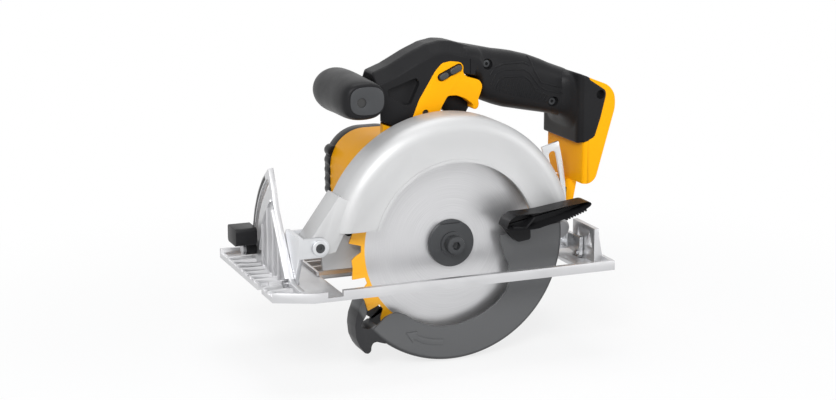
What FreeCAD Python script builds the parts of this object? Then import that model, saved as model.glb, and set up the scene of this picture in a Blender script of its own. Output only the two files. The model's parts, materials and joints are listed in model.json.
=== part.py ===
"""Cordless circular saw, blade on the left of the motor, bare tool.

Frame: millimetres.  X runs from the front of the shoe to the back, Y from the blade
side to the motor side, Z up.  The sole of the shoe is Z = 0, the blade stands in the
plane Y = 0 and the arbor is the line X = 0, Z = arbor_height.
"""
import FreeCAD, Part
import math
import os

Vector = FreeCAD.Vector

# ---------------------------------------------------------------- driving dimensions
# clearances
RUNNING = 0.05            # radial play of a shaft, pin or hub
GAP = 0.3                 # play between faces of pieces that move past each other

# blade and spindle
blade_diameter = 165.0
blade_plate = 1.2
tooth_width = 1.8
tooth_count = 18
tooth_depth = 10.0
arbor_height = 25.5
arbor_bore = 15.875
spindle_radius = 7.5
flange_radius = 17.0
flange_thickness = 3.4
washer_radius = 18.3
washer_thickness = 4.4
blade_screw_radius = 7.0
blade_screw_head = 9.0

# gears: one pair of spur gears between rotor and spindle
gear_module = 1.0
gear_teeth = 43
pinion_teeth = 9
gear_y = 17.0
gear_width = 9.0
motor_offset_x = -10.0    # rotor axis, forward of the arbor

# guards: both radii follow from the blade's
blade_play = 6.0          # from the tips of the teeth to the rim of the lower guard
guard_play = 5.5          # from the lower guard to the wall of the upper guard
guard_wall = 3.0
guard_near_y = -16.0
guard_far_y = 14.0
guard_shoulder = 12.0
window_depth = 17.0       # how far the upper guard covers the blade, inward from the teeth
guard_cut_z = 44.0
guard_back_z = 10.0
lower_rim = 3.0
lower_near_y = -11.0
lower_far_y = 9.0
lower_wall = 2.0
lower_window_depth = 20.5
lower_front_angle = -150.0
lower_rear_angle = 7.0
hub_radius = 20.0
hub_ring = 4.0
guard_screw_circle = 34.0
guard_screw_angles = (165.0, 22.0)

# shoe
slot_play = 6.5           # from the lower guard to each end of the blade's slot
shoe_nose = 52.5          # from the slot to the front edge
shoe_tail = 26.0          # from the slot to the rear edge
shoe_near = -38.0
shoe_far = 114.0
shoe_plate = 3.0
shoe_edge = 7.5
shoe_edge_wall = 3.0
front_edge = 4.2
shoe_corner_x = 28.0
shoe_corner_y = 13.0
slot_near = -29.0
slot_far = 22.5
rib_height = 3.0
rib_width = 2.2
front_rib_count = 10
far_rib_count = 5
fence_slot_back = 8.0     # from the blade's slot to the middle of the fence slot
fence_slot_width = 12.0

# bevel: the carrier tilts about a line along X
bevel_axis_z = 6.0
bevel_pin_radius = 2.0
bevel_pin_head = 2.6
bevel_pin_proud = 3.5
bevel_lug = 4.2
bevel_lug_floor = 1.2
bevel_radius = 81.0
bevel_start = 6.2
bevel_travel = 50.0
bolt_radius = 3.0
bolt_play = 0.3
quadrant_back = 33.0      # from the blade's slot to the quadrant
quadrant_plate = 4.0
quadrant_outer = 90.0
bracket_plate = 3.0
lever_hub = 5.4
lever_nut = 5.0
lever_clear = 2.5         # from the quadrant to the lever's block

# depth: the saw swings about a pin along Y at the front bracket
depth_pivot_back = 12.6   # from the blade's slot to the pin
depth_pivot_z = 35.4
depth_pin_radius = 3.8
depth_lug = 8.0
depth_reach = 0.9         # how far the clamp bolt's circle passes the upper guard
depth_start = -3.0
depth_travel = 16.0
depth_plate_y = 16.5
depth_plate = 2.0
depth_plate_half = 7.5
depth_foot_angle = 4.5
depth_end_angle = 2.5

# motor
housing_half_x = 36.5
housing_half_z = 38.5
housing_corner = 30.0
housing_center_z = 52.5
housing_wall = 2.5
housing_front_y = 36.0
housing_back_y = 143.0
cap_length = 13.0
rotor_shaft_radius = 4.0
armature_radius = 21.5
armature_length = 46.0
magnet_inner = 22.6
magnet_outer = 28.0
can_outer = 30.5
commutator_radius = 11.0
commutator_length = 14.0
fan_radius = 28.0

# handle
handle_y = 38.0
handle_half = 18.0
cavity_half = 10.0
boot_near_y = 5.0
boot_far_y = 71.0
bay_depth = 6.5
bay_half = 25.0
rail_depth = 3.5
rail_lip = 3.0
trigger_half = 7.0
button_radius = 5.0
screw_radius = 3.6
aux_near_y = 0.0
aux_far_y = 96.0

# ---------------------------------------------------------------- values worked out
blade_radius = blade_diameter / 2
lower_outer = blade_radius + blade_play + lower_rim
guard_outer = lower_outer + guard_play + guard_wall
window_radius = blade_radius - window_depth
lower_window = blade_radius - lower_window_depth
slot_front = -(lower_outer + slot_play)
slot_rear = lower_outer + slot_play
shoe_front = slot_front - shoe_nose
shoe_rear = slot_rear + shoe_tail
fence_slot_x = slot_front - fence_slot_back
quadrant_x = slot_front - quadrant_back
depth_pivot_x = slot_front - depth_pivot_back
depth_radius = guard_outer - depth_pivot_x + depth_reach
gear_radius = gear_module * gear_teeth / 2
pinion_radius = gear_module * pinion_teeth / 2
center_distance = gear_radius + pinion_radius
motor_x = motor_offset_x
motor_z = arbor_height + math.sqrt(center_distance ** 2 - motor_offset_x ** 2)
gear_cavity = gear_radius + gear_module + 0.3
case_outer = gear_cavity + 1.2
gear_back = gear_y + gear_width
cover_y = gear_back + 2.0
spindle_bearing = hub_radius - 4.0
small_bearing = 9.5
rotor_bearing = 11.0
bearing_width = 7.0
bevel_bolt = (bevel_radius * math.cos(math.radians(bevel_start)),
              bevel_axis_z + bevel_radius * math.sin(math.radians(bevel_start)))
depth_bolt_x = depth_pivot_x + depth_radius * math.cos(math.radians(depth_start))
depth_bolt_z = depth_pivot_z + depth_radius * math.sin(math.radians(depth_start))
bracket_x = quadrant_x + quadrant_plate + GAP


# ---------------------------------------------------------------- small tools
def box(x0, x1, y0, y1, z0, z1):
    return Part.makeBox(x1 - x0, y1 - y0, z1 - z0, Vector(x0, y0, z0))


def rod(radius, y0, y1, x=0.0, z=arbor_height):
    """Cylinder along Y, by default on the arbor."""
    return Part.makeCylinder(radius, y1 - y0, Vector(x, y0, z), Vector(0, 1, 0))


def rod_x(radius, x0, x1, y, z):
    return Part.makeCylinder(radius, x1 - x0, Vector(x0, y, z), Vector(1, 0, 0))


def ring(outer, inner, y0, y1, x=0.0, z=arbor_height):
    return rod(outer, y0, y1, x, z).cut(rod(inner, y0 - 1, y1 + 1, x, z))


def prism(points, y0, y1):
    """Outline in X and Z, extruded along Y."""
    corners = [Vector(x, y0, z) for x, z in points]
    face = Part.Face(Part.makePolygon(corners + corners[:1]))
    return face.extrude(Vector(0, y1 - y0, 0))


def prism_x(points, x0, x1):
    """Outline in Y and Z, extruded along X."""
    corners = [Vector(x0, y, z) for y, z in points]
    face = Part.Face(Part.makePolygon(corners + corners[:1]))
    return face.extrude(Vector(x1 - x0, 0, 0))


def polar(radius, degrees, cx=0.0, cz=arbor_height):
    angle = math.radians(degrees)
    return (cx + radius * math.cos(angle), cz + radius * math.sin(angle))


def wedge(radius, a0, a1, cx=0.0, cz=arbor_height):
    """Outline of a pie slice that reaches past the radius."""
    steps = max(2, int(abs(a1 - a0) / 30) + 1)
    reach = radius / math.cos(math.radians(abs(a1 - a0) / steps / 2))
    arc = [polar(reach, a0 + (a1 - a0) * i / steps, cx, cz) for i in range(steps + 1)]
    return [(cx, cz)] + arc


def arc_band(radius, half, a0, a1, cx, cz, to_vector, along, round_ends=True):
    """Curved bar from angle a0 to a1; to_vector turns plane coordinates into a point."""
    def at(r, a):
        return to_vector(*polar(r, a, cx, cz))

    middle = (a0 + a1) / 2
    edges = [Part.Arc(at(radius + half, a0), at(radius + half, middle),
                      at(radius + half, a1)).toShape(),
             Part.Arc(at(radius - half, a1), at(radius - half, middle),
                      at(radius - half, a0)).toShape()]
    if round_ends:
        bulge = math.degrees(half / radius)
        edges.append(Part.Arc(at(radius + half, a1), at(radius, a1 + bulge),
                              at(radius - half, a1)).toShape())
        edges.append(Part.Arc(at(radius - half, a0), at(radius, a0 - bulge),
                              at(radius + half, a0)).toShape())
    else:
        edges.append(Part.makeLine(at(radius + half, a1), at(radius - half, a1)))
        edges.append(Part.makeLine(at(radius - half, a0), at(radius + half, a0)))
    wire = Part.Wire(Part.__sortEdges__(edges))
    return Part.Face(wire).extrude(along)


def fuse(shapes):
    whole = shapes[0].fuse(shapes[1:]) if len(shapes) > 1 else shapes[0]
    return whole.removeSplitter()


def rounded_box(half_x, half_z, corner, y0, y1, cx, cz):
    """Prism along Y with a rounded rectangular section."""
    body = box(cx - half_x, cx + half_x, y0, y1, cz - half_z, cz + half_z)
    edges = [e for e in body.Edges if abs(e.tangentAt(0).y) > 0.9]
    return body.makeFillet(corner, edges)


# ---------------------------------------------------------------- shoe
def shoe():
    corner = [(shoe_front, shoe_near + shoe_corner_y), (shoe_front + shoe_corner_x, shoe_near),
              (shoe_rear, shoe_near), (shoe_rear, shoe_far), (shoe_front, shoe_far)]

    def outline(inset, z0, z1):
        pts = [Vector(x, y, z0) for x, y in corner]
        wire = Part.makePolygon(pts + pts[:1])
        face = Part.Face(wire if inset == 0 else wire.makeOffset2D(-inset))
        return face.extrude(Vector(0, 0, z1 - z0))

    edge = outline(0, 0, shoe_edge).cut(outline(shoe_edge_wall, -1, shoe_edge + 1))
    edge = edge.cut(box(shoe_front - 1, shoe_front + shoe_edge_wall, shoe_near + shoe_corner_y,
                        shoe_far - shoe_edge_wall, front_edge, shoe_edge + 1))
    parts = [outline(0, 0, shoe_plate), edge]
    top = shoe_plate + rib_height
    front_end = quadrant_x
    span = (shoe_far - shoe_near - 2 * shoe_corner_y) / (front_rib_count + 1)
    for i in range(front_rib_count):
        y = shoe_near + shoe_corner_y + span * (i + 1)
        parts.append(box(shoe_front, front_end, y, y + rib_width, 0, top))
    span = (shoe_far - slot_far) / (far_rib_count + 1)
    for i in range(far_rib_count):
        y = slot_far + span * (i + 1)
        parts.append(box(slot_front, slot_rear, y, y + rib_width, 0, top))
    for x in (slot_front - rib_width, slot_rear):
        parts.append(box(x, x + rib_width, slot_far, shoe_far, 0, top))
    parts.append(box(slot_front, slot_rear, slot_near - rib_width, slot_near, 0, top))
    body = fuse(parts)
    body = body.cut(box(slot_front, slot_rear, slot_near, slot_far, -1, shoe_edge + 1))
    relief = case_outer * 0.8
    body = body.cut(box(-relief, relief, slot_far - 1, cover_y + 12, -1, shoe_edge + 1))
    for y0, y1 in ((shoe_near - 1, shoe_near + shoe_edge_wall + 1),
                   (shoe_far - shoe_edge_wall - 1, shoe_far + 1)):
        body = body.cut(box(fence_slot_x - fence_slot_width / 2,
                            fence_slot_x + fence_slot_width / 2,
                            y0, y1, shoe_plate, shoe_edge + 1))
    body = body.cut(rod_x(bevel_pin_head + GAP, quadrant_x - bevel_pin_proud - 1, quadrant_x,
                          0, bevel_axis_z))
    body = fuse([body, quadrant(), rear_upright()])
    for x0, x1 in ((bracket_x - 0.5, bracket_x + bracket_plate + 0.5),
                   (rear_plate_x() - 0.5, rear_plate_x() + bracket_plate + 0.5)):
        body = body.cut(box(x0, x1, -bevel_lug - 2, bevel_lug + 2, bevel_lug_floor, shoe_edge + 1))
    return body.cut(sight_notch())


def sight_notch():
    return box(shoe_front - 1, shoe_front + 8, 2, 12, -1, shoe_edge + 1)


def quadrant():
    """Upright plate across the front, with the curved slot of the bevel bolt."""
    x0, x1 = quadrant_x, quadrant_x + quadrant_plate
    top = polar(quadrant_outer, bevel_start + bevel_travel + 6, 0, bevel_axis_z)
    outline = [(slot_near, 0), (slot_near, 7.5), (-9, 8.5), (-4, 10.5), (29, 57)]
    outline += [(top[0] - 8, top[1] - 15), top]
    for a in (50, 38, 26, 14, 3):
        outline.append(polar(quadrant_outer, a, 0, bevel_axis_z))
    outline.append((quadrant_outer, 0))
    plate = prism_x(outline, x0, x1)
    slot = arc_band(bevel_radius, bolt_radius + bolt_play, bevel_start,
                    bevel_start + bevel_travel, 0, bevel_axis_z,
                    lambda y, z: Vector(x0 - 1, y, z), Vector(x1 - x0 + 2, 0, 0))
    plate = plate.cut(slot).cut(scale_band(x0 - 1, 0))
    return plate.cut(rod_x(bevel_pin_radius, x0 - 1, x1 + 1, 0, bevel_axis_z))


def scale_band(x0, inset):
    """Arc strip let into the front of the quadrant, outside the slot."""
    inner = bevel_radius + bolt_radius + bolt_play + 1.2 + inset
    outer = quadrant_outer - 1.2 - inset
    band = rod_x(outer, x0, quadrant_x + 0.6, 0, bevel_axis_z)
    band = band.cut(rod_x(inner, x0 - 1, quadrant_x + 1, 0, bevel_axis_z))
    return band.common(prism_x(wedge(outer, 8 + inset, 54 - inset, 0, bevel_axis_z),
                               x0, quadrant_x + 0.6))


def rear_plate_x():
    return rear_upright_x() - GAP - bracket_plate - 0.4


def rear_upright_x():
    return shoe_rear - 10.0


def rear_upright():
    x0 = rear_upright_x()
    x1 = x0 + 4.0
    plate = box(x0, x1, -22, 15, 0, 30)
    for y in (-18.5, 0.5):
        plate = plate.cut(prism_x([(y, 14), (y + 10, 14), (y + 5, 26)], x0 - 1, x1 + 1))
    ribs = [prism([(x1, 0), (shoe_rear - 1, 0), (x1, 24)], y, y + 3) for y in (-22, 12)]
    plate = plate.cut(rod_x(bevel_pin_radius, x0 - 1, x1 + 1, 0, bevel_axis_z))
    return fuse([plate] + ribs)


def bevel_pin_front():
    x0 = quadrant_x
    pin = rod_x(bevel_pin_radius, x0 - 2, bracket_x + bracket_plate + 1.5, 0, bevel_axis_z)
    head = rod_x(bevel_pin_head, x0 - bevel_pin_proud, x0, 0, bevel_axis_z)
    return pin.fuse(head).removeSplitter()


def bevel_pin_rear():
    x1 = rear_upright_x() + 4.0
    pin = rod_x(bevel_pin_radius, rear_plate_x() - 1.5, x1 + 1, 0, bevel_axis_z)
    return pin.fuse(rod_x(bevel_pin_head, x1, x1 + 2.0, 0, bevel_axis_z)).removeSplitter()


# ---------------------------------------------------------------- tilting carrier
def front_bracket():
    x0, x1 = bracket_x, bracket_x + bracket_plate
    by, bz = bevel_bolt
    low = depth_pivot_z - depth_lug + 0.6
    high = depth_pivot_z + depth_lug + 0.6
    plate = prism_x([(-bevel_lug, bevel_axis_z), (ear_near() - 3, low), (ear_near() - 3, high),
                     (ear_far() + 3, high), (ear_far() + 15, 28), (by, bz + 7), (by, bz - 5),
                     (20, 9), (bevel_lug, bevel_axis_z)], x0, x1)
    plate = fuse([plate, rod_x(bevel_lug, x0, x1, 0, bevel_axis_z), rod_x(7.4, x0, x1, by, bz)])
    ears = []
    for y0 in (ear_near() - 3, ear_far()):
        ear = box(x0, depth_pivot_x, y0, y0 + 3, depth_pivot_z - 7.5, depth_pivot_z + 7.5)
        ears += [ear, rod(7.5, y0, y0 + 3, depth_pivot_x, depth_pivot_z)]
    body = fuse([plate] + ears)
    body = body.cut(rod(depth_pin_radius, -60, 60, depth_pivot_x, depth_pivot_z))
    body = body.cut(rod_x(bolt_radius, x0 - 1, x1 + 1, by, bz))
    return body.cut(rod_x(bevel_pin_radius + RUNNING, x0 - 1, x1 + 1, 0, bevel_axis_z))


def ear_near():
    return guard_near_y + guard_wall


def ear_far():
    return guard_far_y - guard_wall + 1.0


def depth_pin():
    head = rod(6.0, ear_near() - 5, ear_near() - 3, depth_pivot_x, depth_pivot_z)
    pin = rod(depth_pin_radius, ear_near() - 4, ear_far() + 4.5, depth_pivot_x, depth_pivot_z)
    return head.fuse(pin).removeSplitter()


def depth_bracket():
    y0, y1 = depth_plate_y, depth_plate_y + depth_plate
    plate = arc_band(depth_radius, depth_plate_half, depth_start - depth_foot_angle,
                     depth_start + depth_travel + depth_end_angle, depth_pivot_x, depth_pivot_z,
                     lambda x, z: Vector(x, y0, z), Vector(0, y1 - y0, 0), False)
    slot = arc_band(depth_radius, bolt_radius + bolt_play, depth_start,
                    depth_start + depth_travel, depth_pivot_x, depth_pivot_z,
                    lambda x, z: Vector(x, y0 - 1, z), Vector(0, y1 - y0 + 2, 0))
    x0 = rear_plate_x()
    x1 = x0 + bracket_plate
    foot = box(depth_bolt_x - 2, x1, y0, y1, bevel_axis_z, depth_bolt_z - bolt_radius - 3)
    cross = box(x0, x1, -bevel_lug, y1, bevel_axis_z, depth_bolt_z - 5)
    lug = rod_x(bevel_lug, x0, x1, 0, bevel_axis_z)
    body = fuse([plate.cut(slot), foot, cross, lug]).cut(slot)
    return body.cut(rod_x(bevel_pin_radius + RUNNING, x0 - 1, x1 + 1, 0, bevel_axis_z))


def bevel_clamp_bolt():
    y, z = bevel_bolt
    x1 = bracket_x + bracket_plate
    shank = rod_x(bolt_radius, quadrant_x - 11, x1 + 1, y, z)
    head = rod_x(6.0, x1, x1 + 3.2, y, z)
    nut = rod_x(lever_nut, quadrant_x - 11, quadrant_x - 8.6, y, z)
    return fuse([shank, head, nut])


def bevel_lever():
    y, z = bevel_bolt
    x1 = quadrant_x - GAP
    hub = rod_x(lever_hub, x1 - 8, x1, y, z)
    neck = box(x1 - 8, x1 - lever_clear, y - lever_hub, y + lever_hub, z, z + 10)
    block = box(x1 - 19.5, x1 - lever_clear, y - 15, y + 8, z + lever_nut + GAP, z + 19)
    edges = [e for e in block.Edges if abs(e.tangentAt(0).x) > 0.9]
    body = fuse([hub, neck, block.makeFillet(3.0, edges)])
    return body.cut(rod_x(bolt_radius + RUNNING, x1 - 9, x1 + 1, y, z))


# ---------------------------------------------------------------- upper guard
def guard_drum(radius, corner, near, far, wall=0.0):
    drum = rod(radius, near, far)
    near_edge = [e for e in drum.Edges
                 if e.Length > 6 * radius and abs(e.CenterOfMass.y - near) < 1e-3]
    return drum.makeFillet(corner, near_edge)


def upper_guard():
    inner = guard_outer - guard_wall - 0.5
    near_in, far_in = guard_near_y + guard_wall, guard_far_y - guard_wall
    drum = guard_drum(guard_outer, guard_shoulder, guard_near_y, guard_far_y)
    drum = drum.cut(box(-200, 200, guard_near_y - 1, far_in, -200, guard_cut_z))
    drum = drum.cut(box(-200, 200, far_in - 1, guard_far_y + 1, -200, guard_back_z))
    lip = ring(window_radius + 2.5, window_radius, guard_near_y - 0.8, guard_near_y + 1)
    lip = lip.cut(box(-200, 200, guard_near_y - 2, guard_near_y + 2, -200, guard_cut_z))
    lug_y = (near_in + GAP, ear_far() - GAP)
    lug = rod(depth_lug, lug_y[0], lug_y[1], depth_pivot_x, depth_pivot_z)
    px, pz = depth_pivot_x, depth_pivot_z
    arm = prism([(px - 6.6, pz + 4.6), (px + 4.6, pz - 6.6), (-guard_outer + 3, pz - 5.4),
                 (-90, guard_cut_z), (-86, 68), (-94, 72)], lug_y[0], lug_y[1])
    clamp = rod(8.0, far_in, depth_plate_y - GAP, depth_bolt_x, depth_bolt_z)
    body = fuse([drum, lip, lug, arm, clamp])
    cavity = guard_drum(inner, guard_shoulder - guard_wall - 0.5, near_in, far_in)
    body = body.cut(cavity).cut(rod(window_radius, guard_near_y - 2, near_in + 1))
    body = body.cut(rod(hub_radius + RUNNING, far_in - 1, guard_far_y + 1))
    body = body.cut(rod(bolt_radius, far_in - 1, depth_plate_y, depth_bolt_x, depth_bolt_z))
    for x, z in guard_screw_places():
        body = body.cut(rod(2.0, far_in - 1, guard_far_y + 1, x, z))
    return body.cut(rod(depth_pin_radius + RUNNING, -60, 60, px, pz))


def guard_screw_places():
    return [polar(guard_screw_circle, a) for a in guard_screw_angles]


def guard_screw(x, z):
    y = guard_far_y - guard_wall
    head = rod(3.6, y - 1.6, y, x, z)
    return head.fuse(rod(2.0, y - 1, guard_far_y + 9, x, z)).removeSplitter()


def guard_bumper():
    """Rubber stop for the swinging guard, on the inside of the back wall."""
    y = guard_far_y - guard_wall
    x, z = polar(lower_outer - 12, 170)
    return rod(4.0, y - 1.7, y, x, z)


# ---------------------------------------------------------------- gear case
def gear_envelope(y0, y1, grow=0.0):
    main = rod(case_outer + grow, y0, y1)
    top = rod(rotor_bearing + 5 + grow, y0, y1, motor_x, motor_z)
    angle = math.atan2(motor_z - arbor_height, motor_x)
    across = (-math.sin(angle), math.cos(angle))
    r0, r1 = case_outer + grow, rotor_bearing + 5 + grow
    web = prism([(across[0] * r0, arbor_height + across[1] * r0),
                 (-across[0] * r0, arbor_height - across[1] * r0),
                 (motor_x - across[0] * r1, motor_z - across[1] * r1),
                 (motor_x + across[0] * r1, motor_z + across[1] * r1)], y0, y1)
    return fuse([main, top, web])


def gear_case():
    y0 = guard_far_y
    snout = rod(hub_radius, lower_far_y - lower_wall - 2.6, y0 + 1)
    screws = [rod(4.2, y0, cover_y, x, z) for x, z in guard_screw_places()]
    for angle in guard_screw_angles:
        web = box(case_outer - 4, guard_screw_circle, y0, cover_y, -3, 3)
        web.rotate(Vector(0, 0, 0), Vector(0, 1, 0), -angle)
        web.translate(Vector(0, 0, arbor_height))
        screws.append(web)
    plunger = Part.makeCylinder(8.0, 12.5, Vector(case_outer - 2.5, gear_y + 5, arbor_height),
                                Vector(1, 0, 0))
    plunger = plunger.cut(box(0, 60, cover_y, cover_y + 20, -20, 60))
    body = fuse([gear_envelope(y0, cover_y), snout, plunger] + screws)
    body = body.cut(rod(gear_cavity, gear_y - 1, cover_y + 1))
    body = body.cut(rod(pinion_radius + gear_module + 1.5, gear_y - 1, cover_y + 1,
                        motor_x, motor_z))
    body = body.cut(rod(spindle_bearing, snout.BoundBox.YMin - 1, gear_y - 1.5))
    body = body.cut(rod(spindle_bearing - 2, -5, gear_y))
    body = body.cut(ring(hub_radius + 5, hub_radius - 1.4, 4.9, 6.2))
    body = body.cut(Part.makeCylinder(5.0 + RUNNING, 40,
                                      Vector(gear_radius, gear_y + 5, arbor_height),
                                      Vector(1, 0, 0)))
    for x, z in guard_screw_places():
        body = body.cut(rod(2.0, y0 - 1, y0 + 9, x, z))
    return body


def gear_cover():
    body = gear_envelope(cover_y, housing_front_y)
    body = body.cut(rod(small_bearing, cover_y - 1, cover_y + bearing_width))
    body = body.cut(rod(rotor_bearing, cover_y - 1, cover_y + bearing_width, motor_x, motor_z))
    return body.cut(rod(rotor_shaft_radius + 1.5, cover_y, housing_front_y + 1, motor_x, motor_z))


def bearing(outer, bore, y0, x=0.0, z=arbor_height):
    return ring(outer, bore, y0, y0 + bearing_width, x, z)


def front_bearing():
    y0 = gear_y - 1.5 - 9.0
    return ring(spindle_bearing, spindle_radius + RUNNING, y0, y0 + 9.0)


def guard_retainer():
    clip = ring(hub_radius + 2.4, hub_radius - 1.2, 5.0, 6.1)
    mouth = box(-6, 6, 4, 7, arbor_height - hub_radius - 6, arbor_height)
    return clip.cut(mouth)


# ---------------------------------------------------------------- spindle and blade
def toothed_wheel(radius, count, module, y0, y1, bore, x=0.0, z=arbor_height, phase=0.0):
    root = radius - 1.2 * module
    tip = radius + 0.95 * module
    pitch = 360.0 / count
    points = []
    for i in range(count):
        a = phase + i * pitch
        points += [polar(root, a - 0.42 * pitch, x, z), polar(root, a - 0.33 * pitch, x, z),
                   polar(tip, a - 0.12 * pitch, x, z), polar(tip, a + 0.12 * pitch, x, z),
                   polar(root, a + 0.33 * pitch, x, z), polar(root, a + 0.42 * pitch, x, z)]
    return prism(points, y0, y1).cut(rod(bore, y0 - 1, y1 + 1, x, z))


def blade():
    """Saw plate: each tooth has a radial face and a hooked gullet behind it."""
    root = blade_radius - tooth_depth
    pitch = 360.0 / tooth_count
    points = []
    for i in range(tooth_count):
        a = -4.7 - i * pitch
        points += [polar(blade_radius, a), polar(blade_radius - 2.2, a - 0.3 * pitch),
                   polar(blade_radius - 2.2, a - 0.52 * pitch),
                   polar(blade_radius - 4.5, a - 0.6 * pitch),
                   polar(root, a - 0.72 * pitch), polar(root, a - 0.92 * pitch)]
    plate = prism(points, -blade_plate / 2, blade_plate / 2)
    face = polar(blade_radius, -4.7)
    tips = []
    for i in range(tooth_count):
        a = -4.7 - i * pitch
        tip = [polar(blade_radius, a), polar(blade_radius - 1.0, a - 0.14 * pitch),
               polar(blade_radius - 6.5, a - 0.12 * pitch), polar(blade_radius - 6.5, a)]
        tips.append(prism(tip, -tooth_width / 2, tooth_width / 2))
    return fuse([plate] + tips).cut(rod(arbor_bore / 2, -5, 5))


def inner_flange():
    y0 = blade_plate / 2
    return ring(flange_radius, spindle_radius, y0, y0 + flange_thickness)


def outer_flange():
    y1 = -blade_plate / 2
    base = ring(washer_radius, 4.2, y1 - washer_thickness, y1)
    boss = ring(9.5, 4.2, y1 - washer_thickness - 2.0, y1 - washer_thickness + 0.5)
    flat = box(-20, 20, -20, y1 - 1.2, arbor_height + washer_radius - 3, arbor_height + 30)
    return fuse([base, boss]).cut(flat)


def blade_screw():
    y1 = -blade_plate / 2 - washer_thickness - 2.0
    y0 = -blade_screw_head - 5.5
    head = rod(blade_screw_radius, y0, y1)
    socket = [polar(3.4, 60 * i) for i in range(6)]
    shank = rod(4.2, y1 - 0.5, 14.0)
    return head.fuse(shank).removeSplitter().cut(prism(socket, y0 - 1, y0 + 5))


def spindle():
    nose = rod(arbor_bore / 2 - RUNNING, -blade_plate / 2 + 0.1, blade_plate / 2)
    shaft = rod(spindle_radius, blade_plate / 2 - 0.1, gear_back + 0.6)
    stub = rod(3.0, gear_back, cover_y + bearing_width)
    return fuse([nose, shaft, stub]).cut(rod(4.2, -2, 14.0))


def spindle_gear():
    wheel = toothed_wheel(gear_radius, gear_teeth, gear_module, gear_y, gear_back,
                          spindle_radius, phase=mesh_angle())
    return wheel


def mesh_angle():
    return math.degrees(math.atan2(motor_z - arbor_height, motor_x))


# ---------------------------------------------------------------- lower guard
def lower_guard():
    near, far = lower_near_y, lower_far_y
    drum = guard_drum(lower_outer, 3.0, near, far)
    inside = rod(lower_outer - lower_rim, near + lower_wall, far - lower_wall - 0.5)
    shell = drum.cut(inside).cut(rod(lower_window, near - 1, near + lower_wall + 1))
    slice_points = wedge(lower_outer + 5, lower_front_angle, lower_rear_angle)
    shell = shell.common(prism(slice_points, near - 1, far + 1))
    fill = [polar(39, -3), polar(43, -15), polar(51, -26), polar(58, -37),
            polar(lower_window + 4, -48), polar(lower_window + 4, lower_rear_angle),
            polar(39, lower_rear_angle)]
    toe = [(-75, -10.5), (-82, -28), (-80, -41), (-72.5, -52), (-68.5, -46),
           (-63, -43), (-62.7, -28.5)]
    hub = rod(hub_radius + hub_ring, far - lower_wall - 0.5, far)
    body = fuse([shell, prism(fill, near, near + lower_wall), prism(toe, near, near + 6), hub])
    body = body.cut(rod(hub_radius + RUNNING, near - 1, far + 1))
    return body.cut(rod(1.6, near - 1, near + lower_wall + 1, *lever_screw_place()))


def lever_screw_place():
    return (52.0, 34.0)


def guard_lever():
    near = lower_near_y
    face = guard_near_y - 0.8 - 0.7
    paddle = prism([(32, 44), (38, 49.5), (62, 50.5), (104, 55.5), (105, 52), (99, 49.5),
                    (80, 43), (62, 38.5), (46, 38.2), (34, 40)], face - 16.5, face)
    hollow = prism([(42, 37), (48, 45), (60, 46), (92, 49), (92, 40), (60, 36)],
                   face - 14.5, face - 2.5)
    root = prism([(36, 41), (44, 46.5), (60, 44), (61, 26), (50, 24.5), (44, 30)], face, near)
    return fuse([paddle.cut(hollow), root])


def guard_lever_screw():
    x, z = lever_screw_place()
    y = lower_near_y + lower_wall
    return rod(3.0, y, y + 1.2, x, z).fuse(rod(1.6, lower_near_y, y + 1, x, z)).removeSplitter()


def guard_spring():
    """Torsion spring round the snout, with a leg to each guard."""
    y = lower_far_y + 1.0
    coil = Part.makeTorus(hub_radius + 7.5, 0.6, Vector(0, y, arbor_height), Vector(0, 1, 0))
    gap = prism(wedge(hub_radius + 12, 60, 80), y - 2, y + 2)
    x, z = polar(hub_radius + 7.5, 100)
    leg = Part.makeCylinder(0.6, 9.0, Vector(x, y, z), Vector(0, 0, 1))
    return coil.cut(gap).fuse(leg).removeSplitter()


# ---------------------------------------------------------------- motor
def housing_shape(inset, y0, y1):
    return rounded_box(housing_half_x - inset, housing_half_z - inset, housing_corner - inset,
                       y0, y1, motor_x, housing_center_z)


def motor_housing():
    body = housing_shape(0, housing_front_y, housing_back_y)
    inside = housing_shape(housing_wall, housing_front_y + 3, housing_back_y + 1)
    rib = housing_shape(housing_wall, 0, 3)
    shell = body.cut(inside)
    ribs = []
    for y in (can_y0() + 4, can_y1() - 7):
        bulkhead = rib.copy()
        bulkhead.translate(Vector(0, y, 0))
        ribs.append(bulkhead.cut(rod(can_outer, y - 1, y + 4, motor_x, motor_z)))
    shell = fuse([shell] + ribs)
    shell = shell.cut(rod(rotor_shaft_radius + 1.5, 0, housing_front_y + 9, motor_x, motor_z))
    for i in range(5):
        z = motor_z - 8 + 6 * i
        shell = shell.cut(box(motor_x - 60, motor_x + 60, housing_front_y + 6,
                              housing_front_y + 22, z, z + 2.4))
    return shell


def motor_end_cap():
    y0, y1 = housing_back_y, housing_back_y + cap_length
    cap = housing_shape(0, y0, y1).cut(housing_shape(housing_wall + 1, y0 - 1, y1 - 3))
    seat = rod(rotor_bearing + 3, y1 - 10, y1 - 2, motor_x, motor_z)
    bars = [box(motor_x - 40, motor_x + 40, y1 - 8, y1 - 2.5, motor_z - 2, motor_z + 2),
            box(motor_x - 2, motor_x + 2, y1 - 8, y1 - 2.5, housing_center_z - 36,
                housing_center_z + 36)]
    inner = housing_shape(housing_wall, y0, y1)
    cap = fuse([cap, seat] + [bar.common(inner) for bar in bars])
    cap = cap.cut(rod(rotor_bearing - 3, y1 - 11, y1 - 3, motor_x, motor_z))
    for i in range(6):
        z = motor_z - 20 + 8 * i
        for side in (-1, 1):
            x = motor_x + side * 24
            cap = cap.cut(box(x - 7, x + 7, y1 - 4, y1 + 1, z, z + 3))
    return cap


def can_y0():
    return fan_y1() + 6.0


def can_y1():
    return can_y0() + armature_length + 14.0


def fan_y1():
    return housing_front_y + 3 + 13.0


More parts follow.
